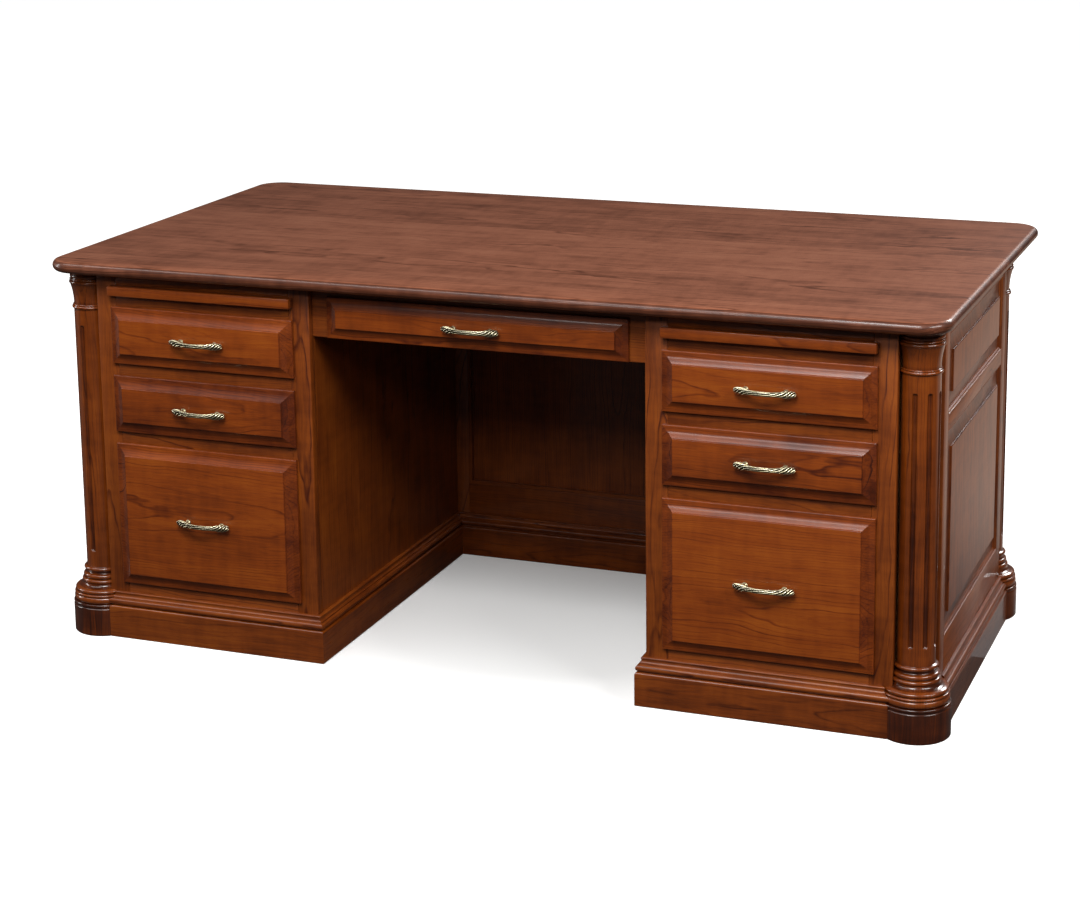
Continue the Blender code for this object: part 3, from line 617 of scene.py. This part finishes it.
def faceFramePiece(hand, look):
    node = f"face_frame_{hand}"
    low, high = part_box(node)
    fronts = [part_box(f"{row}_{hand}_front") for row in drawerRows]
    slot = sum(corner.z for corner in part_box(f"writing_slide_{hand}")) / 2
    x0, x1 = fronts[0][0].x + look["lip"], fronts[0][1].x - look["lip"]
    levels = [low.z]
    for bottom, top in fronts:
        levels += [bottom.z + look["lip"], top.z - look["lip"]]
    levels += [slot - look["slotHalf"], slot + look["slotHalf"], high.z]
    bm = newShape()
    for start, end in ((low.x, x0), (x1, high.x)):
        addBoard(bm, (start, low.y, low.z), (end, high.y, high.z), zAxis, yAxis, look["ease"])
    for bottom, top in zip(levels[::2], levels[1::2]):
        addBoard(bm, (x0, low.y, bottom), (x1, high.y, top), xAxis, yAxis, look["ease"])
    makePiece(bm, f"face_boards_{hand}", caseWood, "case", [node])


for hand in hands:
    faceFramePiece(hand, faceLook)
print("face frames made")


# turned columns with fluted shafts

columnLook = {
    "inset": 0.0355,
    "shaft": 0.0355,
    "turnSteps": 72,
    "fluteRadius": 0.0053,
    "fluteTurn": -6.0,  # degrees off square, the same way on every column
    "fluteOffset": 0.0006,  # how far outside the shaft the flute's round centre lies
    "fluteBottom": 0.177,
    "fluteTopBelow": 0.120,
    "notch": 0.0707,
    "joint": 0.0003,
    # painted shade in the flutes and the seats between beads
    "paintedHollowShade": 0.17,
    "hollowDepth": 0.0016,  # a hollow this deep takes the whole painted shade
    "hollowReach": 0.0045,
    "cap": (0.0400, 0.0100),  # radius, height
    # beads: radius, radius beside it, its top below the case top, its height
    "capitalBeads": (
        (0.0412, 0.0394, 0.0119, 0.0054),
        (0.0420, 0.0396, 0.0194, 0.0034),
        (0.0431, 0.0402, 0.0240, 0.0062),
    ),
    "bell": (0.0350, 0.0062, 0.0302, 0.0420),  # radius, flare, top below the case top, height
    "neckBeads": ((0.0372, 0.0358, 0.0726, 0.0024), (0.0390, 0.0360, 0.0755, 0.0062)),
    "shaftTopBelow": 0.0822,
    # from here down, heights count from the foot
    "shaftFoot": 0.0716,
    "collarSeat": (0.0362, 0.0713),
    "collarBeads": ((0.0416, 0.0368, 0.0711, 0.0082),),
    "collarHollow": (0.0366, 0.0014, 0.0625, 0.0030),  # radius, depth, top, half its height
    "footBeads": ((0.0438, 0.0400, 0.0560, 0.0086), (0.0466, 0.0428, 0.0458, 0.0080)),
    "cove": (0.0556, 0.0118, 0.0372, 0.0082),  # radius and width, top and height
    "footSteps": (
        (0.0612, 0.0566, 0.0282, 0.0084),
        (0.0632, 0.0604, 0.0192, 0.0054),
        (0.0640, 0.0602, 0.0132, 0.0124),
    ),
    "footRadius": 0.0598,
}


def halfRound(outer, seat, top, height, steps=8):
    points = []
    for i in range(steps + 1):
        turn = math.pi * i / steps
        points.append((seat + (outer - seat) * math.sin(turn), top - height * (1 - math.cos(turn)) / 2))
    return points


def beads(rows, level, direction):
    points = []
    for outer, seat, away, height in rows:
        points += halfRound(outer, seat, level + direction * away, height)
    return points


# (radius, height) from the top of a column to its foot
def columnOutline(look, top, foot):
    radius, height = look["cap"]
    outline = [(0.0, top), (radius, top), (radius, top - height)]
    for row in look["capitalBeads"]:
        outline += [(row[1] - 0.0008, top - row[2] + 0.0006)]
        outline += beads([row], top, -1)
    radius, flare, below, height = look["bell"]
    for i in range(17):
        part = i / 16
        outline.append((radius + flare * (1 - part) ** 2.1, top - below - height * part))
    outline += beads(look["neckBeads"], top, -1)
    shaftTop, shaftFoot = top - look["shaftTopBelow"], foot + look["shaftFoot"]
    ends = (look["fluteBottom"], top - look["fluteTopBelow"])
    levels = [shaftTop + (shaftFoot - shaftTop) * i / 24 for i in range(25)]
    for end in ends:
        levels += [end + look["fluteRadius"] * (i / 8 - 1) for i in range(17)]
    outline += [(look["shaft"], level) for level in sorted(levels, reverse=True)]
    seat, above = look["collarSeat"]
    outline += [(seat, foot + above)] + beads(look["collarBeads"], foot, 1)
    radius, deep, above, half = look["collarHollow"]
    for i in range(7):
        turn = math.pi * i / 6
        level = foot + above - half * (1 - math.cos(turn))
        outline.append((radius - deep * math.sin(turn), level))
    outline += beads(look["footBeads"], foot, 1)
    radius, wide, above, height = look["cove"]
    for i in range(9):
        turn = math.pi / 2 * i / 8
        outline.append((radius - wide * math.cos(turn), foot + above - height * math.sin(turn)))
    outline += beads(look["footSteps"], foot, 1)
    return outline + [(look["footRadius"], foot), (0.0, foot)]


# even turns, with close ones across each flute; zero is straight out to the side
def turnAngles(look, centres):
    half = math.asin(look["fluteRadius"] / look["shaft"])
    angles = [2 * math.pi * i / look["turnSteps"] for i in range(look["turnSteps"])]
    for centre in centres:
        angles = [a for a in angles if abs(math.remainder(a - centre, 2 * math.pi)) > half * 1.08]
    for centre in centres:
        angles += [(centre + half * i / 8) % (2 * math.pi) for i in range(-8, 9)]
    return sorted(angles)


def fluteDepth(look, radius, angle, level, centres, ends):
    if abs(radius - look["shaft"]) > 0.00001:
        return 0.0
    past = max(ends[0] - level, level - ends[1], 0.0)
    deepest = 0.0
    for centre in centres:
        across = look["shaft"] * math.remainder(angle - centre, 2 * math.pi)
        left = look["fluteRadius"] ** 2 - across ** 2 - past ** 2
        if left > 0:
            deepest = max(deepest, math.sqrt(left) - look["fluteOffset"])
    return deepest


# painted shade in hollows: each face is darkened by how far it lies inside the outline's running
# average
def hollowShadeTones(bm, outline, centre, look):
    shades = {}
    known = {}
    for face in bm.faces:
        middle = face.calc_center_median()
        key = round(middle.z, 4)
        if key not in known:
            rows = [row for row in outline if abs(row[1] - middle.z) < look["hollowReach"]]
            near = [row[0] for row in rows if row[0] > 0.01]
            known[key] = (min(near) + max(near)) / 2 if near else look["shaft"]
        reach = math.hypot(middle.x - centre[0], middle.y - centre[1])
        inside = min(max(known[key] - reach, 0.0) / look["hollowDepth"], 1.0)
        shades[face] = -look["paintedHollowShade"] * inside
    return shades


# revolves an outline round a plan centre; shrink takes a depth off each radius
def revolve(bm, outline, angles, centre, shrink=None):
    columns = []
    for angle in angles:
        points = []
        for radius, level in outline:
            reach = radius - (shrink(radius, angle, level) if shrink else 0.0)
            x, y = centre[0] + reach * math.cos(angle), centre[1] + reach * math.sin(angle)
            points.append((x, y, level))
        columns.append([bm.verts.new(point) for point in points])
    for here, after in zip(columns, columns[1:] + columns[:1]):
        for i in range(len(outline) - 1):
            bm.faces.new((here[i], here[i + 1], after[i + 1], after[i]))
    bmesh.ops.remove_doubles(bm, verts=bm.verts, dist=0.000002)
    bmesh.ops.recalc_face_normals(bm, faces=bm.faces)


# takes the case's corner off a round piece, as the real ones are cut to fit against it
def fitToCase(bm, side, end, look):
    faceLow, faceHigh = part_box("face_frame_right")
    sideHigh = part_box("side_frame_right")[1]
    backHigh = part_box("back_frame")[1]
    edge = faceLow.y if end < 0 else backHigh.y
    frameEdge = faceHigh.x + look["joint"]
    outer = sideHigh.x + look["joint"]
    piece = shapeObject("uncut", bm)
    cutters = []
    spans = (
        ((0.5, edge + end * look["joint"]), (frameEdge, edge - end * 0.3)),
        ((0.6, edge - end * (look["notch"] - 2 * look["joint"])), (outer, edge - end * 0.35)),
    )
    for low, high in spans:
        shape = bmesh.new()
        at = Vector((side * low[0], low[1], -0.1))
        to = Vector((side * high[0], high[1], 1.0))
        size = Vector(abs(b - a) for a, b in zip(at, to))
        middle = Matrix.Translation((at + to) / 2) @ Matrix.Diagonal((*size, 1))
        bmesh.ops.create_cube(shape, size=1, matrix=middle)
        cutter = shapeObject("caseCorner", shape)
        cutters.append(cutter)
        cut = piece.modifiers.new("cut", "BOOLEAN")
        cut.operation = "DIFFERENCE"
        cut.solver = "EXACT"
        cut.object = cutter
    bpy.context.view_layer.update()
    fitted = newShape()
    graph = bpy.context.evaluated_depsgraph_get()
    result = bpy.data.meshes.new_from_object(piece.evaluated_get(graph))
    fitted.from_mesh(result)
    for used in (piece, *cutters):
        bpy.data.objects.remove(used, do_unlink=True)
    return fitted


def columnPiece(hand, side, place, end, look):
    node = f"column_{place}_{hand}"
    low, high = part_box(node)
    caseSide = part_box("side_frame_right")[1].x
    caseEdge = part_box("face_frame_right")[0].y if end < 0 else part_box("back_frame")[1].y
    centre = (side * (caseSide - look["inset"]), caseEdge - end * look["inset"])
    ends = (look["fluteBottom"], high.z - look["fluteTopBelow"])
    out = 0.0 if side > 0 else math.pi
    outward = math.pi / 2 * end
    middle = math.atan2(end, side)
    centres = [angle + math.radians(look["fluteTurn"]) for angle in (out, outward, middle)]

    def shrink(radius, angle, level):
        return fluteDepth(look, radius, angle, level, centres, ends)

    bm = newShape()
    outline = columnOutline(look, high.z, low.z)
    revolve(bm, outline, turnAngles(look, centres), centre, shrink)
    bm = fitToCase(bm, side, end, look)
    # painted shade darkens the flutes and the seats between the beads
    shades = hollowShadeTones(bm, outline, centre, look)
    layGrain(bm, list(bm.faces), zAxis, yAxis, slant=0.02, shades=shades)
    name = f"fluted_column_{place}_{hand}"
    makePiece(bm, name, turnedWood, "case", [node], sharpAngle=38)
    return centre


plinthLook = {
    "radius": 0.0660,
    "neck": 0.0640,
    "beadHeight": 0.0064,
    "beadBelow": 0.0003,
    "coveBelow": 0.0084,
    "coveHeight": 0.0024,
    "ease": 0.0015,
    "steps": 96,
    "shade": -0.24,
}


def plinthPiece(hand, side, place, end, centre, look):
    node = f"plinth_block_{place}_{hand}"
    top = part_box(node)[1].z
    radius, neck, ease = look["radius"], look["neck"], look["ease"]
    outline = [(0.0, top), (neck - 0.002, top)]
    outline += halfRound(radius, neck, top - look["beadBelow"], look["beadHeight"])
    outline += [(neck, top - look["coveBelow"])]
    for i in range(5):
        part = i / 4
        reach = neck + (radius - neck) * math.sin(math.pi / 2 * part)
        outline.append((reach, top - look["coveBelow"] - look["coveHeight"] * part))
    outline += [(radius, ease), (radius - ease, 0.0), (0.0, 0.0)]
    bm = newShape()
    revolve(bm, outline, [2 * math.pi * i / look["steps"] for i in range(look["steps"])], centre)
    bm = fitToCase(bm, side, end, columnLook)
    faces = list(bm.faces)
    layGrain(bm, faces, zAxis, yAxis, slant=0.02, shades={face: look["shade"] for face in faces})
    name = f"round_plinth_{place}_{hand}"
    makePiece(bm, name, turnedWood, "case", [node], sharpAngle=38)


cornerCentres = {}
for hand, side in hands.items():
    for place, end in (("front", -1), ("rear", 1)):
        centre = columnPiece(hand, side, place, end, columnLook)
        plinthPiece(hand, side, place, end, centre, plinthLook)
        cornerCentres[(side, end)] = centre
print("columns made")


# base boards and cap mouldings

baseLook = {
    "boardOut": 0.0178,
    "boardEase": 0.0012,
    "boardRound": 0.0046,
    "boardStep": 0.0062,
    "joint": 0.0003,
    "footRadius": 0.0643,
    "plinthRadius": 0.0663,
    # arcs of the cap: out, up from its foot or down from its top, radius, degrees, steps
    "torus": (0.0104, 0.0078, 0.0062, -85, 90, 9),
    "cove": (0.0128, 0.0222, 0.0060, 246, 168, 7),
    "lip": (0.0058, -0.0022, 0.0022, -45, 90, 5),
    "toe": 0.0110,
    "fillet": ((0.0104, 0.0152), (0.0100, 0.0155)),
    "lipFillet": (0.0066, 0.0040),
}


def boardOutline(look, low, high):
    out, near, ease, radius = [look[key] for key in ("boardOut", "joint", "boardEase", "boardRound")]
    outline = [(near, low), (out - ease, low), (out, low + ease), (out, high - look["boardStep"])]
    outline += arcPoints((out - radius, high - radius), radius, 0, 90, 6)
    return outline + [(near, high)]


# torus, fillet, cove and fillet
def capOutline(look, low, high):
    def arc(level, out, up, *rest):
        return arcPoints((out, level + up), *rest)

    near = look["joint"]
    outline = [(near, low), (look["toe"], low), *arc(low, *look["torus"])]
    outline += [(out, low + up) for out, up in look["fillet"]] + arc(low, *look["cove"])
    out, down = look["lipFillet"]
    return outline + [(out, high - down), *arc(high, *look["lip"]), (near, high)]


# one straight run along a plan line with the case on its left; ends are a mitre or a round block
def mouldedRun(bm, start, end, outline, startCut, endCut):
    start, end = Vector(start), Vector(end)
    along = (end - start).normalized()
    outward = Vector((along.y, -along.x))
    length = (end - start).length
    ends = []
    for at, cut, forward in ((0.0, startCut, 1), (length, endCut, -1)):
        ring = []
        for out, level in outline:
            slide = at
            if cut["kind"] == "mitre":
                slide += -forward * cut["turn"] * out
            else:  # back from the round block it dies into
                aside = cut["inset"] + out
                slide += forward * math.sqrt(max(cut["radius"] ** 2 - aside ** 2, 0.0))
            point = start + along * slide + outward * out
            ring.append(bm.verts.new((point.x, point.y, level)))
        ends.append(ring)
    faces = [bm.faces.new(ends[0]), bm.faces.new(ends[1])]
    faces += bridge(bm, *ends)
    grainAxis, throughAxis = (xAxis, yAxis) if abs(along.x) > 0.5 else (yAxis, xAxis)
    layGrain(bm, faces, grainAxis, throughAxis, slant=0.02)


def baseRuns():
    knee = -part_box("face_frame_left")[1].x
    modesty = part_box("back_frame")[0].y
    front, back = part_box("face_frame_right")[0].y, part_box("back_frame")[1].y
    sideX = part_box("side_frame_right")[1].x
    nearLeft, nearRight = cornerCentres[(-1, -1)], cornerCentres[(1, -1)]
    farLeft, farRight = cornerCentres[(-1, 1)], cornerCentres[(1, 1)]
    block, inside, outside = "block", {"kind": "mitre", "turn": -1}, {"kind": "mitre", "turn": 1}
    return {
        "right": [((sideX, nearRight[1]), (sideX, farRight[1]), block, block)],
        "left": [((-sideX, farLeft[1]), (-sideX, nearLeft[1]), block, block)],
        "back": [((farRight[0], back), (farLeft[0], back), block, block)],
        "front": [
            ((nearLeft[0], front), (-knee, front), block, outside),
            ((-knee, front), (-knee, modesty), outside, inside),
            ((-knee, modesty), (knee, modesty), inside, inside),
            ((knee, modesty), (knee, front), inside, outside),
            ((knee, front), (nearRight[0], front), outside, block),
        ],
    }


def basePieces(look):
    for word, runs in baseRuns().items():
        for kind, radius, outlineOf in (
            ("board", look["plinthRadius"], boardOutline), ("cap", look["footRadius"], capOutline)
        ):
            node = f"base_{kind}_{word}"
            low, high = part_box(node)
            outline = outlineOf(look, low.z, high.z)
            block = {"kind": "block", "inset": columnLook["inset"], "radius": radius}
            bm = newShape()
            for start, end, startCut, endCut in runs:
                cuts = [block if cut == "block" else cut for cut in (startCut, endCut)]
                mouldedRun(bm, start, end, outline, *cuts)
            wood = turnedWood if kind == "board" else caseWood
            makePiece(bm, f"moulded_{node}", wood, "case", [node])


basePieces(baseLook)
print("base made")


# drawer fronts: one board each, with a raised field

frontLook = {
    "edge": 0.0072,
    "edgeRound": 0.0018,
    "bevelWidth": 0.0225,
    "bevelRise": 0.0088,
    "hollow": 0.0014,
    "fieldRound": 0.0016,
}


# from the back up the eased edge and the hollow bevel, over a small step to the field
def frontProfile(look, thickness):
    ease, edge = look["edgeRound"], look["edge"]
    profile = [(0.0008, 0.0), (0.0, 0.0008)]
    profile += arcPoints((ease, edge - ease), ease, 180, 100, 5)
    startInset, startHeight = profile[-1]
    for step in range(1, 9):
        part = step / 8
        sag = look["hollow"] * math.sin(math.pi * part)
        inset = startInset + (look["bevelWidth"] - startInset) * part
        profile.append((inset, startHeight + look["bevelRise"] * part - sag))
    radius = look["fieldRound"]
    profile += arcPoints((look["bevelWidth"] + 0.0003 + radius, thickness - radius), radius, 180, 90, 6)
    return profile


def frontPiece(name, look):
    node = name + "_front"
    low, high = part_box(node)
    bm = newShape()
    raisedBoard(bm, low, high, yAxis, -1, frontProfile(look, high.y - low.y), xAxis)
    makePiece(bm, f"raised_{node}", frontWood, name, [node], sharpAngle=24)


drawerNames = [f"{row}_{hand}" for hand in hands for row in drawerRows] + ["pencil_drawer"]
for name in drawerNames:
    frontPiece(name, frontLook)
print("drawer fronts made")


# writing slides: a board with an edge strip across its end

slideLook = {
    "strip": 0.0190,
    "ease": 0.0024,
    "boardHalf": 0.0075,
    "inset": 0.0110,
    "seams": (0.0, 0.36, 0.70, 1.0),
    "seamEase": 0.0002,
}


def writingSlidePiece(hand, look):
    node = f"writing_slide_{hand}"
    low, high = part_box(node)
    level = (low.z + high.z) / 2
    bm = newShape()
    addBoard(bm, low, (high.x, low.y + look["strip"], high.z), xAxis, yAxis, look["ease"])
    start = low.y + look["strip"]
    x0, x1 = low.x + look["inset"], high.x - look["inset"]
    bounds = [x0 + (x1 - x0) * part for part in look["seams"]]
    for left, right in zip(bounds, bounds[1:]):
        addBoard(
            bm, (left, start, level - look["boardHalf"]), (right, high.y, level + look["boardHalf"]),
            yAxis, zAxis, look["seamEase"],
        )
    makePiece(bm, f"edged_{node}", frontWood, node, [node])


for hand in hands:
    writingSlidePiece(hand, slideLook)
print("writing slides made")


# pulls: cast rope-twist bows on two posts

pullLook = {
    "half": 0.0585,
    "endReach": 0.0074,
    "bow": 0.0168,
    "bar": 0.0046,
    "swell": 0.0030,
    "knuckleAt": 0.0440,
    "knuckleSpread": 0.0125,
    "strands": 6,
    "strandDepth": 0.46,
    "pitchEnd": 0.040,
    "pitchMiddle": 0.150,
    "tipRound": 0.004,
    "toneFocus": 1.8,  # how narrow the polished crests are
    "toneDrop": 0.14,
    "postAt": 0.038,
    "postRadius": 0.0040,
    # the post's outline: parts of its radius, metres from the drawer front
    "postFoot": (
        (0.0, 0.0003), (1.45, 0.0003), (1.55, 0.0012), (1.4, 0.0022), (1.02, 0.0034), (0.86, 0.0060)
    ),
    "postTone": 0.42,
    "postSteps": 20,
    "alongSteps": 110,
    "roundSteps": 72,
}


def pullBar(bm, look, at):
    tone = bm.loops.layers.float["tone"]
    half, bow, depth = look["half"], look["bow"], look["strandDepth"]
    rings, values, phases = [], {}, 0.0
    step = 2 * half / look["alongSteps"]
    for i in range(look["alongSteps"] + 1):
        x = -half + step * i
        near = math.exp(-(((abs(x) - look["knuckleAt"]) / look["knuckleSpread"]) ** 2))
        size = look["bar"] + look["swell"] * near
        tip = min(1.0, (half - abs(x)) / look["tipRound"] + 0.02)
        size *= math.sqrt(1 - (1 - tip) ** 2) if tip < 1 else 1.0
        outer = min(1.0, abs(x) / look["knuckleAt"])
        pitch = look["pitchMiddle"] + (look["pitchEnd"] - look["pitchMiddle"]) * outer
        phases += 2 * math.pi * step / pitch
        reach = look["endReach"] + bow * math.cos(math.pi / 2 * x / half)
        slope = -bow * math.pi / 2 / half * math.sin(math.pi / 2 * x / half)
        along = Vector((1.0, -slope, 0.0)).normalized()
        outward = Vector((along.y, -along.x, 0.0))
        ring = []
        for k in range(look["roundSteps"]):
            turn = 2 * math.pi * k / look["roundSteps"]
            lobe = abs(math.cos(look["strands"] * (turn - phases) / 2))
            radius = size * (1 - depth + depth * lobe)
            point = Vector((at[0] + x, at[1] - reach, at[2]))
            point += outward * (radius * math.cos(turn)) + Vector((0, 0, radius * math.sin(turn)))
            vert = bm.verts.new(point)
            values[vert] = lobe ** look["toneFocus"] - look["toneDrop"]
            ring.append(vert)
        rings.append(ring)
    faces = [bm.faces.new(rings[0]), bm.faces.new(rings[-1])]
    for here, after in zip(rings, rings[1:]):
        faces += bridge(bm, here, after)
    for face in faces:
        for loop in face.loops:
            loop[tone] = values[loop.vert]


# a small turned foot under each end of the bar: (radius, distance from the drawer front)
def pullPost(bm, look, at):
    tone = bm.loops.layers.float["tone"]
    reach = look["endReach"] + look["bow"] * math.cos(math.pi / 2 * look["postAt"] / look["half"])
    radius = look["postRadius"]
    outline = [(radius * part, away) for part, away in look["postFoot"]]
    outline += [(outline[-1][0], reach - 0.004), (0.0, reach - 0.003)]
    columns = []
    for k in range(look["postSteps"]):
        turn = 2 * math.pi * k / look["postSteps"]
        ring = []
        for size, away in outline:
            x, z = at[0] + size * math.cos(turn), at[2] + size * math.sin(turn)
            ring.append(bm.verts.new((x, at[1] - away, z)))
        columns.append(ring)
    made = []
    for here, after in zip(columns, columns[1:] + columns[:1]):
        for i in range(len(outline) - 1):
            made.append(bm.faces.new((here[i], here[i + 1], after[i + 1], after[i])))
    for face in made:
        for loop in face.loops:
            loop[tone] = look["postTone"]
    ends = [vert for ring in columns for vert in (ring[0], ring[-1])]
    bmesh.ops.remove_doubles(bm, verts=ends, dist=0.00001)


def pullPiece(name, look):
    low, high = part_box(name + "_front")
    at = ((low.x + high.x) / 2, low.y, (low.z + high.z) / 2)
    bm = newShape()
    pullBar(bm, look, at)
    for side in (-1, 1):
        pullPost(bm, look, (at[0] + side * look["postAt"], at[1], at[2]))
    makePiece(bm, f"rope_pull_{name}", brass, name, [name + "_pull"], sharpAngle=60)


for name in drawerNames:
    pullPiece(name, pullLook)
print("pulls made")


# CAD nodes that stay as they are get their wood
keptWood = {
    "kneehole_side_left": uprightCherry,
    "kneehole_side_right": uprightCherry,
    "pencil_housing": lengthwiseCherry,
}
for node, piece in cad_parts.items():
    if piece.hide_render:
        continue
    piece.data.materials.clear()
    piece.data.materials.append(keptWood.get(node, lengthwiseMaple))
print("kept nodes finished")


# floor and light

stageLook = {
    "size": 60.0,
    "paperHex": "#FBFBFA",
    # painted shadow: the glow is dim near the middle of the desk and grows to full three metres out
    "paperGlowAndPaintedShadow": ((0.0, 0.10), (1.0, 1.0), (0.13, 0.13), (0.25, 0.60), (0.50, 0.94)),
    "glowReach": 3.0,  # metres
    "bounceHex": "#2C2926",  # what the lower surfaces see: the studio round the paper
    "world": 0.035,
}
# place, aim, width and height in metres, watts
lightLook = {
    "overheadBank": ((-1.2, -2.2, 3.3), (-0.4, -0.2, 0.6), (5.0, 0.8), 60),
    "keySoftbox": ((0.6, -3.3, 3.8), (0.3, 0.0, 0.4), (1.5, 1.3), 92),
    "frontBank": ((0.3, -3.5, 2.35), (0.3, 0.0, 0.5), (3.0, 0.45), 26),
    "rightBank": ((3.7, -1.5, 3.0), (0.6, -0.3, 0.4), (2.6, 0.6), 100),
    "leftStrip": ((-4.2, -0.9, 1.4), (-0.6, -0.3, 0.4), (0.6, 2.0), 32),
    "backBank": ((1.9, 3.8, 2.9), (-0.1, 0.3, 0.4), (1.6, 1.0), 84),
}
glowLook = {
    "place": (2.6, 2.6, -0.0006),
    "size": (3.6, 5.2),
    "fade": (-2.6, -1.4),  # metres from its middle: dark before, full after
    "strength": 0.46,
    "hex": "#FFDCC6",
}


def stagePlane(name, sizeX, sizeY, place, material):
    bm = bmesh.new()
    bmesh.ops.create_grid(bm, x_segments=4, y_segments=4, size=0.5)
    bmesh.ops.scale(bm, vec=(sizeX, sizeY, 1.0), verts=bm.verts)
    plane = shapeObject(name, bm)
    plane.location = place
    plane.data.materials.append(material)
    return plane


def makeStage(look, glow):
    paper, tree, shader = newMaterial("paperFloorGlowAndPaintedShadow")
    white = linear(look["paperHex"])
    # painted shadow: the paper glows from below, less and less towards the kneehole, so it darkens
    # under and round the desk
    place = addNode(tree, "TexCoord", out="Object")
    away = addNode(tree, "VectorMath", {0: place}, operation="LENGTH", out="Value")
    away = addNode(tree, "Math", {0: away, 1: look["glowReach"]}, operation="DIVIDE")
    stops = [(position, grey(value)) for position, value in look["paperGlowAndPaintedShadow"]]
    glowAndPaintedShadow = addNode(tree, "ValToRGB", {"Fac": away}, stops=stops)
    fill(tree, shader, {"Base Color": white, "Roughness": 0.9, "Specular IOR Level": 0.1})
    fill(tree, shader, {"Emission Color": white, "Emission Strength": glowAndPaintedShadow})
    floor = stagePlane("paperFloor", look["size"], look["size"], (0, 0, -0.0004), paper)
    floor.visible_diffuse = floor.visible_glossy = floor.visible_shadow = False
    # the wood sees a darker studio than the paper, so that its colour stays deep
    studio, tree, shader = newMaterial("darkStudioFloor")
    fill(tree, shader, {"Base Color": linear(look["bounceHex"]), "Roughness": 0.9})
    bounce = stagePlane("studioFloor", look["size"], look["size"], (0, 0, -0.0010), studio)
    bounce.visible_camera = bounce.visible_shadow = False
    # lit paper behind the desk, which the side panels mirror at a low angle
    sheet, tree, shader = newMaterial("litPaperSheet")
    fill(tree, shader, {"Base Color": grey(0.0), "Emission Color": linear(glow["hex"])})
    place = addNode(tree, "TexCoord", out="Object")
    depth = addNode(tree, "SeparateXYZ", {0: place}, out="Y")
    start, full = glow["fade"]
    fade = addNode(
        tree, "MapRange",
        {"Value": depth, "From Min": start, "From Max": full, "To Max": glow["strength"]},
        interpolation_type="SMOOTHSTEP",
    )
    fill(tree, shader, {"Emission Strength": fade})
    lit = stagePlane("litPaper", *glow["size"], glow["place"], sheet)
    lit.visible_camera = lit.visible_diffuse = lit.visible_shadow = False
    world = bpy.data.worlds.new("studio")
    world.use_nodes = True
    background = world.node_tree.nodes["Background"]
    fill(world.node_tree, background, {"Color": grey(1.0), "Strength": look["world"]})
    bpy.context.scene.world = world


def makeLights(looks):
    for name, (place, target, size, power) in looks.items():
        data = bpy.data.lights.new(name, "AREA")
        data.shape = "RECTANGLE"
        data.size, data.size_y = size
        data.energy = power
        light = addObject(name, data)
        light.location = place
        aim = Vector(target) - light.location
        light.rotation_euler = aim.to_track_quat("-Z", "Y").to_euler()


makeStage(stageLook, glowLook)
makeLights(lightLook)
bpy.context.scene.view_settings.view_transform = "Standard"
print("stage and lights made")
